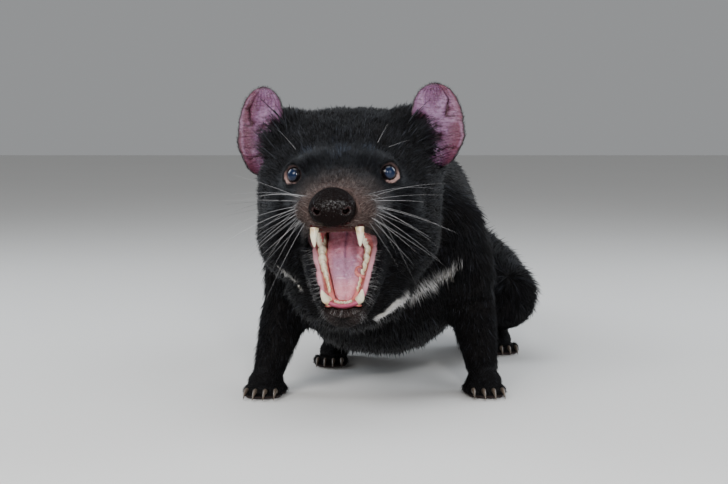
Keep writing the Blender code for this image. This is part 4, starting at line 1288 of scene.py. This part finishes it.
def noseFinish():
    look = Finish("noseLeather", Roughness=0.3, IOR=1.45, Specular_IOR_Level=0.015, Coat_Roughness=0.13)
    pebble = look.cells(1000)
    blotch = look.noise(160, 3)
    dark = look.mix(blotch, (0.0014, 0.0007, 0.0006), (0.0046, 0.0022, 0.0020))
    dark = look.mix(look.between(pebble, 0.2, 0.6, 0.0, 0.4), dark, (0.006, 0.0034, 0.0032))
    rim = look.mix(blotch, (0.016, 0.008, 0.008), (0.07, 0.034, 0.034))
    # painted shade: deep inside the nostrils turns near black
    inside = look.mix(look.value("deep"), rim, (0.002, 0.001, 0.001))
    colour = look.mix(look.math("MULTIPLY", look.value("hole"), 0.7), dark, inside)
    rough = look.between(look.noise(240, 2), 0.3, 0.7, 0.18, 0.45)
    normal = look.bump(pebble, 0.0004, 0.9)
    normal = look.bump(look.noise(300, 4), 0.0007, 0.6, normal)
    look.link(normal, look.shader.inputs["Coat Normal"])
    drops = look.math("MULTIPLY", look.value("wet"), look.between(look.noise(900, 2), 0.45, 0.6))
    shine = look.math("ADD", 0.06, look.math("MULTIPLY", drops, 0.9))
    return look.give(Base_Color=colour, Roughness=rough, Normal=normal, Coat_Weight=shine)


paint(makeNose(), noseFinish())
print("nose done")


# Teeth and gums

toothSizes = {
    "profile": ((0, 1), (0.2, 1.02), (0.45, 0.86), (0.7, 0.6), (0.88, 0.33), (0.97, 0.12)),
    "upperCanine": ((14.2, -47.2, -33), (15.0, -49.2, -49.5), 3.5, (0.7, -1.6, 0)),
    "upperIncisors": ((1.4, -47.6), (4.0, -47.2), (6.5, -46.2), (8.8, -44.6)),
    "upperCheek": ((13.6, -37, 1.8), (14.2, -31.5, 2.2), (14.8, -25.3, 2.7), (15.3, -18.4, 3.1), (15.6, -11, 3.0)),
    "lowerCanine": ((9.0, 43.8, -5), (13.6, 43.2, 12.0), 3.6, (0.8, 1.4, 0)),
    "lowerIncisors": ((1.1, 47.6), (3.25, 47.3), (5.3, 46.6)),
    # across, along, size and height
    "lowerCheek": ((15.6, -1, 3.5, 6.5), (15.6, 5.8, 3.8, 7.0), (15.2, 12.8, 3.6, 7.0), (14.0, 19.2, 2.9, 6.0),
                   (12.5, 24.8, 2.2, 6.0), (11.3, 29.2, 1.7, 4.4), (10.5, 33.0, 1.6, 3.8), (9.7, 36.6, 1.6, 3.6)),
    "cheekScale": {1: 1.2, -1: 0.92},  # the lower ones on each side
    "voxel": 0.42,
}
gumSizes = {"upper": 3.2, "lower": 3.3, "collar": 0.9, "voxel": 0.55}
fleshFold = ((-14.5, 27, -1, 1.2), (-11.5, 28, 2.4, 1.5), (-8.6, 26.2, 3.6, 1.4), (-8.8, 22.6, 3.8, 1.1), (-11.5, 20, 2.2, 0.9))


def addTooth(bm, base, tip, radius, matrix, bend=(0, 0, 0), grow=0.0, flat=1.0, reach=1.0, count=16):
    base, tip, bend = Vector(base), Vector(tip), Vector(bend)
    axis = (tip - base).normalized()
    side = Vector((0, 1, 0)) - axis * axis.y if abs(axis.y) < 0.9 else Vector((1, 0, 0)) - axis * axis.x
    side.normalize()
    up = axis.cross(side)
    rings = []
    for share, size in toothSizes["profile"]:
        if share > reach:
            break
        centre = base.lerp(tip, share) + bend * math.sin(math.pi * share)
        rim = oval(radius * size + grow, radius * size * flat + grow, 2.2, count)
        rings.append([place(centre + side * x + up * y, matrix) for x, y in rim])
    loft(bm, rings)


def cheekTooth(bm, x, y, z, size, height, side, matrix, grow=0.0, reach=1.0):
    # A crown with a tall cusp in the middle and a lower one before and behind.
    for shift, tall, wide in ((0, 1, 0.82), (-0.62, 0.62, 0.62), (0.62, 0.7, 0.66)):
        base = (side * x, y + shift * size, z)
        tip = (side * (x - 0.5), y + shift * size * 1.25, z + height * (0.45 + 0.55 * tall))
        addTooth(bm, base, tip, size * wide, matrix, (0, 0, 0), grow, 0.9, reach)


def addUpperTeeth(bm, grow=0.0, reach=1.0):
    root, tip, radius, bend = toothSizes["upperCanine"]
    for side in sides.values():
        start, end = (side * root[0], *root[1:]), (side * tip[0], *tip[1:])
        addTooth(bm, start, end, radius, upperMouthFrame, (side * bend[0], *bend[1:]), grow, 0.85, reach)
        for x, y in toothSizes["upperIncisors"]:
            edge = (side * x, y + 0.4, -40)
            addTooth(bm, (side * x, y, -35), edge, 1.1, upperMouthFrame, (0, 0, 0), grow * 0.6, 0.7, reach)
        for x, y, size in toothSizes["upperCheek"]:
            height = -(2.6 + size * 0.8)
            cheekTooth(bm, x, y, -37 - (y + 39) * 0.3, size, height, side, upperMouthFrame, grow, reach)


def addLowerTeeth(bm, grow=0.0, reach=1.0):
    root, tip, radius, bend = toothSizes["lowerCanine"]
    for side in sides.values():
        start, end = (side * root[0], *root[1:]), (side * tip[0], *tip[1:])
        addTooth(bm, start, end, radius, jawFrame, (side * bend[0], *bend[1:]), grow, 0.85, reach)
        for x, y in toothSizes["lowerIncisors"]:
            edge = (side * x, y + 0.9, 5.0)
            addTooth(bm, (side * x, y - 1, -2), edge, 1.45, jawFrame, (0, 0, 0), grow * 0.6, 0.7, reach)
        for x, y, size, height in toothSizes["lowerCheek"]:
            scale = toothSizes["cheekScale"][side]
            cheekTooth(bm, x, y, -2, size * scale, height + 2, side, jawFrame, grow, reach)


def makeTeeth(name, add, rootLine, matrix, node):
    bm = bmesh.new()
    add(bm)
    teeth = fuse(objectFrom(name, bm), toothSizes["voxel"], 2)
    away = inFrame(matrix, pointsOf(teeth.data))[:, 2] - rootLine
    setValues(teeth.data, "crown", abs(away))
    teeth.data.shade_smooth()
    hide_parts(node)
    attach(teeth, bodyName)
    return teeth


def makeGum(name, add, path, radius, lift, matrix, node):
    # A rounded bed with a collar round each tooth.
    bm = bmesh.new()
    tube(bm, [(x, y, z + lift, radius) for x, y, z in bothSides(path)], matrix, count=20, steps=4)
    add(bm, gumSizes["collar"], 0.3)
    if matrix is jawFrame:
        tube(bm, fleshFold, matrix)
    gum = fuse(objectFrom(name, bm), gumSizes["voxel"], 7)
    local = inFrame(matrix, pointsOf(gum.data))
    # painted shade: the front of the upper gum and the lower gum below its crest at the chin are marked to turn near
    # black
    front = smooth(-38, -42, local[:, 1])
    outside = smooth(-1.5, -3.5, local[:, 2]) * smooth(38, 41, local[:, 1])
    setValues(gum.data, "dark", outside if matrix is jawFrame else front)
    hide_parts(node)
    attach(gum, bodyName)
    return gum


def toothFinish():
    look = Finish("ivory", Roughness=0.25, IOR=1.5, Coat_Weight=0.25, Coat_Roughness=0.1, Subsurface_Weight=0.1,
                  Subsurface_Scale=0.002)
    crown = look.value("crown")
    streaks = look.noise(260, 4, 0.6, look.objectPlace((1, 1, 0.16)))
    ivory = look.mix(streaks, (0.62, 0.56, 0.38), (0.84, 0.80, 0.64))
    root = look.mix(look.noise(300, 3), (0.50, 0.24, 0.06), (0.70, 0.50, 0.22))
    stain = look.between(crown, 0.5, 4.5, 0.8, 0.0)
    stain = look.math("MULTIPLY", stain, look.between(look.noise(220, 3), 0.35, 0.6))
    colour = look.mix(stain, ivory, root)
    cracks = look.between(look.noise(700, 2, 0.5, look.objectPlace((1, 1, 0.1))), 0.60, 0.66, 0.0, 0.3)
    colour = look.mix(cracks, colour, (0.4, 0.32, 0.18))
    normal = look.bump(streaks, 0.0004, 0.7)
    return look.give(Base_Color=colour, Normal=normal)


def gumFinish():
    look = Finish("gum", Roughness=0.2, IOR=1.42, Specular_IOR_Level=0.2, Coat_Roughness=0.08, Subsurface_Weight=0.1,
                  Subsurface_Scale=0.002)
    blotch = look.noise(190, 4)
    colour = look.mix(blotch, (0.36, 0.07, 0.06), (0.60, 0.22, 0.20))
    colour = look.mix(look.between(look.noise(520, 3), 0.55, 0.7, 0, 0.6), colour, (0.34, 0.04, 0.035))
    # painted shade: near black where the dark mark says the gum sits in shade
    colour = look.mix(look.value("dark"), colour, (0.035, 0.004, 0.003))
    normal = look.bump(look.noise(420, 4), 0.0006, 0.6)
    shine = look.between(look.value("dark"), 0, 1, 0.5, 0.06)
    return look.give(Base_Color=colour, Normal=normal, Coat_Weight=shine)


def makeMouth():
    ivory, pink = toothFinish(), gumFinish()
    paint(makeTeeth("upperTeeth", addUpperTeeth, -38, upperMouthFrame, "upper_teeth"), ivory)
    paint(makeTeeth("lowerTeeth", addLowerTeeth, 0, jawFrame, "lower_teeth"), ivory)
    upper = makeGum("upperGum", addUpperTeeth, upperGum, gumSizes["upper"], 1.2, upperMouthFrame, "upper_teeth")
    lower = makeGum("lowerGum", addLowerTeeth, lowerGum, gumSizes["lower"], -0.9, jawFrame, "lower_teeth")
    for gum in (upper, lower):
        paint(gum, pink)


makeMouth()
print("teeth and gums done")


# Tongue

tongueSizes = {
    # distance along the jaw, half width, half height, height of the middle
    "stations": (
        (-18, 13, 4.5, -1),
        (0, 12.6, 5.3, -0.3),
        (12, 12.0, 5.2, -0.6),
        (22, 10.8, 4.9, -1.0),
        (32, 8.7, 4.4, -1.4),
        (38.5, 6.9, 3.8, -1.8),
        (42.5, 5.0, 2.9, -2.2),
        (45, 2.4, 1.5, -2.6),
    ),
    "shift": -1.1,
    "grooveDepth": 1.3,
    "grooveWidth": 1.5,
    "edgeWaves": 0.35,
    "voxel": 0.6,
}


def makeTongue():
    bm = bmesh.new()
    rings = []
    for along, halfWidth, halfHeight, middle in flowing(tongueSizes["stations"], 9):
        ring = []
        sway = 0.5 * math.sin(along * 0.16)
        wave = tongueSizes["edgeWaves"] * math.sin(along * 0.75)
        for x, z in oval(halfWidth, halfHeight, 2.4, 44):
            groove = tongueSizes["grooveDepth"] * math.exp(-(((x - 0.4 * sway) / tongueSizes["grooveWidth"]) ** 2))
            edge = wave * abs(x / halfWidth) ** 3
            fold = 0.5 * math.sin(0.9 * x + 0.3 * along) * math.sin(0.4 * along + 0.35 * x)
            fold = (fold + 0.12 * math.sin(2.6 * along + 0.3 * x)) * (z > 0)
            across = x + sway + tongueSizes["shift"] + math.copysign(edge, x)
            ring.append(place((across, along, middle + z - (groove if z > 0 else 0) + edge + fold), jawFrame))
        rings.append(ring)
    loft(bm, rings)
    tongue = fuse(objectFrom("tongueBlade", bm), tongueSizes["voxel"], 4)
    local = inFrame(jawFrame, pointsOf(tongue.data))
    across = local[:, 0] - tongueSizes["shift"] - 0.6 * np.sin(0.16 * local[:, 1])
    setValues(tongue.data, "middle", np.exp(-((across / 0.9) ** 2)))
    setValues(tongue.data, "along", local[:, 1])
    setValues(tongue.data, "edge", smooth(0.55, 1.0, abs(local[:, 0]) / (13 - 0.12 * local[:, 1])))
    tongue.data.shade_smooth()
    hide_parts("tongue")
    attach(tongue, bodyName)
    return tongue


def tongueFinish():
    look = Finish("tongueWet", Roughness=0.3, IOR=1.42, Coat_Weight=0.6, Coat_Roughness=0.09, Subsurface_Weight=0.12,
                  Subsurface_Scale=0.002)
    blotch = look.noise(120, 4)
    colour = look.mix(blotch, (0.34, 0.11, 0.17), (0.53, 0.235, 0.31))
    along = look.value("along")
    plum = look.math("MULTIPLY", look.between(along, 8, 18), look.between(along, 34, 26))
    colour = look.mix(look.math("MULTIPLY", plum, 0.6), colour, (0.27, 0.15, 0.25))
    colour = look.mix(look.between(along, 29, 38, 0.0, 0.7), colour, (0.50, 0.17, 0.20))
    colour = look.mix(look.math("MULTIPLY", look.value("edge"), 0.6), colour, (0.50, 0.16, 0.18))
    # painted shade: darker along the middle groove, most towards the root
    groove = look.math("MULTIPLY", look.value("middle"), look.between(along, 30, 16, 0.1, 0.85))
    colour = look.mix(groove, colour, (0.17, 0.06, 0.11))
    buds = look.cells(1300)
    colour = look.mix(look.between(buds, 0.1, 0.5, 0.25, 0.0), colour, (0.60, 0.34, 0.42))
    lines = look.between(look.noise(420, 3, 0.6, look.objectPlace((0.3, 1, 1))), 0.55, 0.7, 0.0, 0.35)
    colour = look.mix(lines, colour, (0.70, 0.48, 0.54))
    rough = look.between(look.noise(420, 3), 0.35, 0.65, 0.18, 0.5)
    normal = look.bump(buds, 0.0004, 0.6)
    normal = look.bump(look.noise(230, 4), 0.0012, 0.8, normal)
    look.link(normal, look.shader.inputs["Coat Normal"])
    return look.give(Base_Color=colour, Roughness=rough, Normal=normal)


paint(makeTongue(), tongueFinish())
print("tongue done")


# Ears

# across, from the head outwards, and up, where each fold starts and ends, how far it stands out, and how wide it is
earFolds = (
    ((0.55, 0.94), (0.70, 0.78), -1.5, 0.04),
    ((0.70, 0.78), (0.48, 0.63), -1.7, 0.04),
    ((0.10, 0.60), (0.95, 0.57), -1.0, 0.022),
    ((0.05, 0.22), (0.97, 0.20), -1.2, 0.018),
    ((-0.95, 0.50), (-0.40, 0.62), -2.4, 0.06),
    ((-0.10, 0.53), (0.14, 0.49), -1.7, 0.035),
    ((-0.95, 0.40), (0.12, 0.40), -2.2, 0.045),
    ((-0.12, 0.47), (0.25, 0.43), 1.6, 0.035),
    ((-0.50, 0.29), (-0.05, 0.24), 1.6, 0.05),
    ((-0.55, 0.74), (0.10, 0.62), 1.2, 0.10),
    ((0.86, 0.90), (0.90, 0.20), 0.9, 0.035),
)


def segmentAway(u, v, start, end):
    # Distance in the ear's own chart from a straight fold.
    ux, uy = end[0] - start[0], end[1] - start[1]
    share = np.clip(((u - start[0]) * ux + (v - start[1]) * uy) / (ux * ux + uy * uy), 0, 1)
    return np.hypot((u - start[0] - share * ux) * 0.5, v - start[1] - share * uy)


def earSheet(side):
    # The middle of the ear's sheet as a grid of head points, its way to the front, and its marks.
    lobe, up, outwards, front, height = earAxes(side)
    columns, levels = earSizes["columns"], earSizes["levels"]
    rows = 0.5 - 0.5 * np.cos(math.pi * np.arange(levels + 1) / levels) * 0.996
    outward, share = np.meshgrid(2 * np.arange(columns + 1) / columns - 1, rows)
    fold = np.zeros_like(outward)
    bentOut = outward + 0.07 * np.sin(9 * share + side) + 0.03 * np.sin(17 * outward + 11 * share)
    bentUp = share + 0.022 * np.sin(5 * outward + 2 * side) + 0.008 * np.sin(15 * outward + 20 * share)
    for start, end, deep, wide in earFolds:
        away = segmentAway(bentOut, bentUp, start, end) * (1 + 0.25 * np.sin(14 * outward + 31 * share))
        fold += deep * np.exp(-((away / wide) ** 2))
    inside = 1 - abs(outward) ** 6
    waves = share * height / earSizes["ridgeStep"] + 0.3 * np.sin(5 * outward + side) + 0.7 * outward * share
    ridges = np.sin(2 * math.pi * waves) * smooth(-0.5, 0.5, outward) * smooth(0.72, 0.55, share) * inside
    streaks = np.sin(outward * 30 + 5 * share + 1.5 * np.sin(share * 9)) * smooth(0.6, 0.85, share) * inside
    lines = ridges + 0.55 * streaks
    stand = fold * inside + earSizes["ridge"] * lines - earDepth(outward, share)
    edge = earHalf(share, side) * (1 + 0.012 * np.sin(share * 55 + side) + 0.01 * np.sin(share * 23))
    grid = lobe + up * (height * share)[..., None] + outwards * (edge * outward)[..., None] + front * stand[..., None]
    facing = np.cross(np.gradient(grid, axis=1), np.gradient(grid, axis=0))
    facing /= np.linalg.norm(facing, axis=2, keepdims=True)
    facing *= np.sign(facing @ front)[..., None]
    # painted shade: darker in the hollows of the folds and the troughs of the ridges
    dark = np.clip(-0.55 * fold, 0, 1) + np.clip(-0.25 * lines, 0, 1)
    # the swell mark lights the raised folds in the finish, as a painted highlight
    return grid, facing, {"outward": outward, "high": share, "dark": np.clip(dark, 0, 1), "swell": np.clip(0.6 * fold, 0, 1)}


def makeEar(name, side):
    grid, facing, marks = earSheet(side)
    levels, columns = grid.shape[0] - 1, grid.shape[1] - 1
    wide, size = columns + 1, grid.shape[0] * grid.shape[1]
    thick = earSizes["thickness"] / 2 * (1 - 0.35 * abs(marks["outward"]) ** 4)[..., None]
    front, back = (grid + facing * thick).reshape(-1, 3), (grid - facing * thick).reshape(-1, 3)
    border = [(0, i) for i in range(columns)] + [(j, columns) for j in range(levels)]
    border += [(levels, i) for i in range(columns, 0, -1)] + [(j, 0) for j in range(levels, 0, -1)]
    inner = [(min(max(j, 1), levels - 1), min(max(i, 1), columns - 1)) for j, i in border]
    rim = np.array([grid[a] + 0.5 * (grid[a] - grid[b]) / np.linalg.norm(grid[a] - grid[b]) for a, b in zip(border, inner)])
    ring = [j * wide + i for j, i in border]
    count = len(ring)
    cells = [(j * wide + i, j * wide + i + 1, (j + 1) * wide + i + 1, (j + 1) * wide + i)
             for j in range(levels) for i in range(columns)]
    faces = cells + [tuple(size + v for v in cell[::-1]) for cell in cells]
    for k in range(count):
        after = (k + 1) % count
        faces.append((ring[k], ring[after], 2 * size + after, 2 * size + k))
        faces.append((2 * size + k, 2 * size + after, size + ring[after], size + ring[k]))
    points = fromFrame(headFrame, np.concatenate([front, back, rim]))
    bm = bmesh.new()
    verts = [bm.verts.new(point) for point in points]
    for face in faces:
        bm.faces.new([verts[v] for v in face])
    ear = objectFrom(name + "_shell", bm)
    for key, value in marks.items():
        flat = value.ravel()
        setValues(ear.data, key, np.concatenate([flat, flat, flat[ring]]))
    parts = (np.ones(size), np.zeros(size), np.full(count, 0.4))
    setValues(ear.data, "inner", np.concatenate(parts))
    flatHigh, flatOut = (np.concatenate([v.ravel(), v.ravel(), v.ravel()[ring]]) for v in (marks["high"], marks["outward"]))
    up = np.array(headFrame)[:3, :3] @ earAxes(side)[1]
    setValues(ear.data, "lie", up + np.outer(flatOut * 0.6, np.array(headFrame)[:3, :3] @ earAxes(side)[2]))
    setValues(ear.data, "hair", 3.4 - 1.6 * flatHigh)
    backShare = np.concatenate([np.zeros(size), np.ones(size), np.ones(count)])
    setValues(ear.data, "coverEar", backShare * (1 - 0.5 * smooth(0.9, 1.0, flatHigh)))
    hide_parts(name)
    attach(ear, bodyName)
    return ear


def earFinish():
    look = Finish("earSkin", Roughness=0.42, IOR=1.42, Specular_IOR_Level=0.4, Subsurface_Weight=0.04, Subsurface_Scale=0.002)
    outward, high = look.value("outward"), look.value("high")
    blotch = look.noise(70, 3)
    lilac = look.mix(blotch, (0.070, 0.022, 0.052), (0.175, 0.074, 0.155))
    rose = look.mix(look.noise(110, 3), (0.070, 0.016, 0.026), (0.165, 0.046, 0.062))
    colour = look.mix(look.between(outward, 0.1, 0.95, 0.0, 0.8), lilac, rose)
    # painted highlight: pale lilac patches at random and on the raised folds
    earHighlight = look.between(look.noise(55, 2), 0.5, 0.68, 0.0, 0.5)
    earHighlight = look.math("MAXIMUM", earHighlight, look.math("MULTIPLY", look.value("swell"), 0.65))
    colour = look.mix(earHighlight, colour, (0.34, 0.21, 0.34))
    veins = look.between(look.noise(420, 4, 0.65, look.objectPlace((0.45, 0.6, 1.9))), 0.5, 0.64, 0.0, 0.7)
    colour = look.mix(veins, colour, (0.055, 0.014, 0.03))
    # painted shade in the folds' hollows and the ridges' troughs
    colour = look.mix(look.between(look.value("dark"), 0.0, 0.75, 0.0, 0.9), colour, (0.035, 0.008, 0.014))
    rim = look.math("MAXIMUM", look.between(look.math("ABSOLUTE", outward), 0.93, 1.0), look.between(high, 0.97, 0.995))
    colour = look.mix(look.math("MULTIPLY", rim, 0.85), colour, (0.03, 0.012, 0.018))
    colour = look.mix(look.between(look.value("inner"), 0.3, 0.9), (0.006, 0.0055, 0.006), colour)
    wrinkle = look.noise(260, 4, 0.6, look.objectPlace((0.5, 0.5, 2.2)))
    normal = look.bump(wrinkle, 0.0012, 1.0)
    normal = look.bump(look.noise(700, 3), 0.0006, 0.8, normal)
    rough = look.between(wrinkle, 0.3, 0.7, 0.22, 0.42)
    return look.give(Base_Color=colour, Roughness=rough, Normal=normal)


earMaterial = earFinish()
for sideName, sideSign in sides.items():
    earShell = makeEar("ear_" + sideName, sideSign)
    coatPiece("coatEar_" + sideName, earShell, "Ear", 0, "coverEar", coatTree, coatMaterial)
    paint(earShell, earMaterial)
print("ears done")


# Whiskers and long single hairs

whiskerSizes = {
    # rows and columns on each pad, from the top row down: head points of the first root, and the steps to the next
    "rows": 6,
    "columns": 4,
    "root": (18.0, -52, -16),
    "columnStep": (2.7, 6.5, 0.2),
    "rowStep": (0.3, 0.9, -3.1),
    "length": 66,
    "thickness": 0.25,
    "brow": ((-24, -14, 20), (-19, -16, 19), (-30, -8, 17), (33, -8, 17), (26, -12, 20)),
    "browWays": ((-0.25, -0.35, 1), (-0.02, -0.4, 1), (-0.75, -0.3, 1), (1.2, -0.3, 0.45), (0.5, -0.3, 0.9)),
    "browLength": 21,
    "dark": 0.3,  # the share of dark ones
}


def hairPath(root, way, length, droop, steps, matrix=headFrame, sag=(0, 0.25, -1)):
    # Rows of x, y, z in metres: out of the skin, along its way, and drooping towards the tip.
    way, sag = Vector(way).normalized(), Vector(sag)
    return [place(Vector(root) + way * length * t + sag * droop * length * t * t, matrix) for t in np.arange(steps + 1) / steps]


def whiskerPaths():
    # Each path with its thickness at the root in millimetres.
    rng = np.random.default_rng(4)
    paths = []
    for side in sides.values():
        for row in range(whiskerSizes["rows"]):
            for column in range(whiskerSizes["columns"]):
                root = Vector(whiskerSizes["root"]) + Vector(whiskerSizes["columnStep"]) * column
                root += Vector(whiskerSizes["rowStep"]) * row + Vector(rng.uniform(-0.9, 0.9, 3))
                tilt = math.radians(17 - 14 * row + rng.uniform(-9, 9))
                back = 0.22 * column - 0.12 + rng.uniform(-0.12, 0.12)
                way = (side * math.cos(tilt), back, math.sin(tilt))
                length = whiskerSizes["length"] * rng.uniform(0.5, 1.06) * (1 - 0.08 * abs(row - 2))
                path = hairPath((side * root.x, root.y, root.z), way, length, rng.uniform(0.02, 0.26), 12)
                paths.append((path, whiskerSizes["thickness"] * rng.uniform(0.6, 1.1)))
    for root, way in zip(whiskerSizes["brow"], whiskerSizes["browWays"]):
        length = whiskerSizes["browLength"] * rng.uniform(0.75, 1.1)
        paths.append((hairPath(root, way, length, 0.08, 8), 0.19))
    return paths


def jawHairPaths():
    # Pale hairs that stand out along the jaw and the chin, beside the muzzle, and from the corners of the eyes.
    rng = np.random.default_rng(9)
    paths = []
    for side in sides.values():
        for _ in range(190):
            share = rng.uniform(0.02, 0.93)
            along, half = lipSizes["lowerLength"] * share, float(lowerLipHalf(share))
            root = (side * (half + 1.6), along, rng.uniform(-1.0, 2.4))
            way = (side * rng.uniform(0.7, 1.1), 0.2 + 2 * max(0, share - 0.75) + rng.uniform(-0.2, 0.4), rng.uniform(-0.15, 0.5))
            paths.append((hairPath(root, way, rng.uniform(3.5, 9), 0.15, 4, jawFrame, (0, 0.6, -0.3)), 0.16))
        for _ in range(60):
            root = (side * rng.uniform(0, 14), 50 + rng.uniform(0, 3), -1 - rng.uniform(0, 9))
            way = (side * rng.uniform(0, 0.8), 1, rng.uniform(-0.1, 0.6))
            paths.append((hairPath(root, way, rng.uniform(3.5, 8), 0.15, 4, jawFrame, (0, 0.3, -0.3)), 0.1))
        for _ in range(26):
            root = (side * rng.uniform(17, 27), rng.uniform(-52, -30), rng.uniform(-33, -12))
            way = (side, rng.uniform(0, 0.6), rng.uniform(-0.8, 0.2))
            paths.append((hairPath(root, way, rng.uniform(4, 9), 0.2, 4), 0.13))
        for k in range(9):
            root = (side * (21 - 0.7 * k), -9 - 0.7 * k, -3.5 - 0.5 * k)
            way = (-side * rng.uniform(0.5, 0.9), -0.75, -1 + rng.uniform(-0.2, 0.2))
            paths.append((hairPath(root, way, rng.uniform(7, 12), 0.1, 4), 0.16))
    return paths


def earHairPaths():
    # Dark hair that stands from the head over the inner edge of each ear.
    rng = np.random.default_rng(12)
    paths = []
    for side in sides.values():
        lobe, up, outwards, front, height = earAxes(side)
        for _ in range(150):
            high = rng.uniform(0.16, 0.56)
            root = lobe + up * height * high - outwards * rng.uniform(13, 18) + front * rng.uniform(1, 6)
            way = outwards + up * rng.uniform(-0.3, 0.22) + front * rng.uniform(0.05, 0.35)
            length = rng.uniform(12, 20) * (1 - 1.5 * abs(high - 0.38))
            paths.append((hairPath(root, way, length, 0.12, 6), 0.36))
    return paths


def makeHairTree():
    tree = Growth("longHairs", Thickness=0.001)
    curve = tree.node("GeometryNodeMeshToCurve")
    tree.feed(curve, {"Mesh": tree.given["Geometry"]})
    profile = tree.node("GeometryNodeCurvePrimitiveCircle")
    tree.feed(profile, {"Resolution": 4, "Radius": tree.given["Thickness"]})
    hair = tree.node("GeometryNodeCurveToMesh")
    tree.feed(hair, {"Curve": curve.outputs[0], "Profile Curve": profile.outputs[0], "Scale": tree.named("thick")})
    tree.feed(hair, {"Fill Caps": True})
    tree.finish(hair.outputs[0])
    return tree


def whiskerFinish():
    look = Finish("whisker", Roughness=0.35, IOR=1.5)
    colour = look.mix(look.value("shade"), (0.12, 0.12, 0.13), (0.42, 0.41, 0.41))
    colour = look.mix(look.between(look.value("shade"), whiskerSizes["dark"], whiskerSizes["dark"] - 0.02), colour, (0.01, 0.01, 0.014))
    return look.give(Base_Color=colour)


def darkHairFinish():
    look = Finish("darkHair", Roughness=0.4, IOR=1.5, Specular_IOR_Level=0.15)
    colour = look.mix(look.value("shade"), (0.0015, 0.0014, 0.0016), (0.010, 0.010, 0.013))
    return look.give(Base_Color=colour)


def makeHairs(name, paths, tree, material):
    bm = bmesh.new()
    thick, shade = [], []
    rng = np.random.default_rng(2)
    for path, width in paths:
        row = [bm.verts.new(point) for point in path]
        last = len(row) - 1
        thick += [width * (1 - 0.85 * k / last) / 2 for k in range(last + 1)]
        shade += [rng.random()] * len(row)
        for first, second in zip(row, row[1:]):
            bm.edges.new((first, second))
    mesh = bpy.data.meshes.new(name)
    bm.to_mesh(mesh)
    bm.free()
    source = newObject(name, mesh)
    setValues(mesh, "thick", np.array(thick))
    setValues(mesh, "shade", np.array(shade))
    made = tree.grow(name, source, material, Thickness=mm)
    bpy.data.objects.remove(source)
    made.name = name
    made.data.shade_smooth()
    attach(made, bodyName)
    return trianglesIn(made.data)


hairTree, whiskerMaterial = makeHairTree(), whiskerFinish()
print("whiskers done,", makeHairs("whiskers", whiskerPaths(), hairTree, whiskerMaterial), "triangles")
print("pale hairs done,", makeHairs("paleHairs", jawHairPaths(), hairTree, whiskerMaterial), "triangles")
print("ear hairs done,", makeHairs("earHairs", earHairPaths(), hairTree, darkHairFinish()), "triangles")


# Claws

clawSizes = {
    "foreFeet": {"left": (89, 97, 4), "right": (-73, 94, -6)},
    "hindFeet": {"left": (115, 332, 5), "right": (-25, 262, -4)},
    "foreToes": ((-10.5, -12, 4.4), (-3.6, -16, 4.6), (3.6, -16, 4.6), (10.5, -12, 4.4)),
    "hindToes": ((-9.5, -29, 4.6), (-3.2, -33, 4.8), (3.2, -33, 4.8), (9.5, -29, 4.6)),
    "foreLength": 9.0,
    "hindLength": 6.0,
    "radius": 2.0,
}


def footFrame(foot):
    x, y, turn = foot
    return Matrix.Translation(fromStance((x, y, -0.8))) @ turned(turn, "Z")


def addClaw(bm, toe, length, matrix):
    x, y, radius = toe
    base = Vector((x, y - 4.5, radius + 1.7))
    tip = Vector((x * 1.06, y - 10 - length, 2.3))
    rings = []
    steps = 9
    for k in range(steps + 1):
        share = k / steps
        centre = base.lerp(tip, share) + Vector((0, 0, 2.2)) * math.sin(math.pi * share)
        size = clawSizes["radius"] * (1 - share**1.6) + 0.16
        rings.append([place(centre + Vector((a, 0, b)), matrix) for a, b in oval(size * 0.8, size * 1.1, 2, 14)])
    loft(bm, rings)


def makeClaws():
    bm = bmesh.new()
    for side in sides:
        for toe in clawSizes["foreToes"]:
            addClaw(bm, toe, clawSizes["foreLength"], footFrame(clawSizes["foreFeet"][side]))
        for toe in clawSizes["hindToes"]:
            addClaw(bm, toe, clawSizes["hindLength"], footFrame(clawSizes["hindFeet"][side]))
    claws = objectFrom("claws", bm)
    look = Finish("horn", Roughness=0.32, IOR=1.5)
    grain = look.noise(240, 4, 0.6, look.objectPlace((1, 0.2, 1)))
    colour = look.mix(grain, (0.035, 0.026, 0.02), (0.16, 0.125, 0.095))
    paint(claws, look.give(Base_Color=colour, Normal=look.bump(grain, 0.0004, 0.6)))
    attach(claws, bodyName)


makeClaws()
print("claws done")


# Floor, sizes and the end

floorSizes = {"reach": 4.0, "colour": (0.72, 0.71, 0.69)}


def makeFloor():
    bm = bmesh.new()
    bmesh.ops.create_grid(bm, x_segments=1, y_segments=1, size=floorSizes["reach"])
    mesh = bpy.data.meshes.new("floor")
    bm.to_mesh(mesh)
    bm.free()
    floor = newObject("floor", mesh)
    look = Finish("floorPaint", Roughness=0.7)
    low = tuple(c * 0.97 for c in floorSizes["colour"])
    mesh.materials.append(look.give(Base_Color=look.mix(look.noise(3, 2), low, floorSizes["colour"])))


makeFloor()

print("all pieces done")
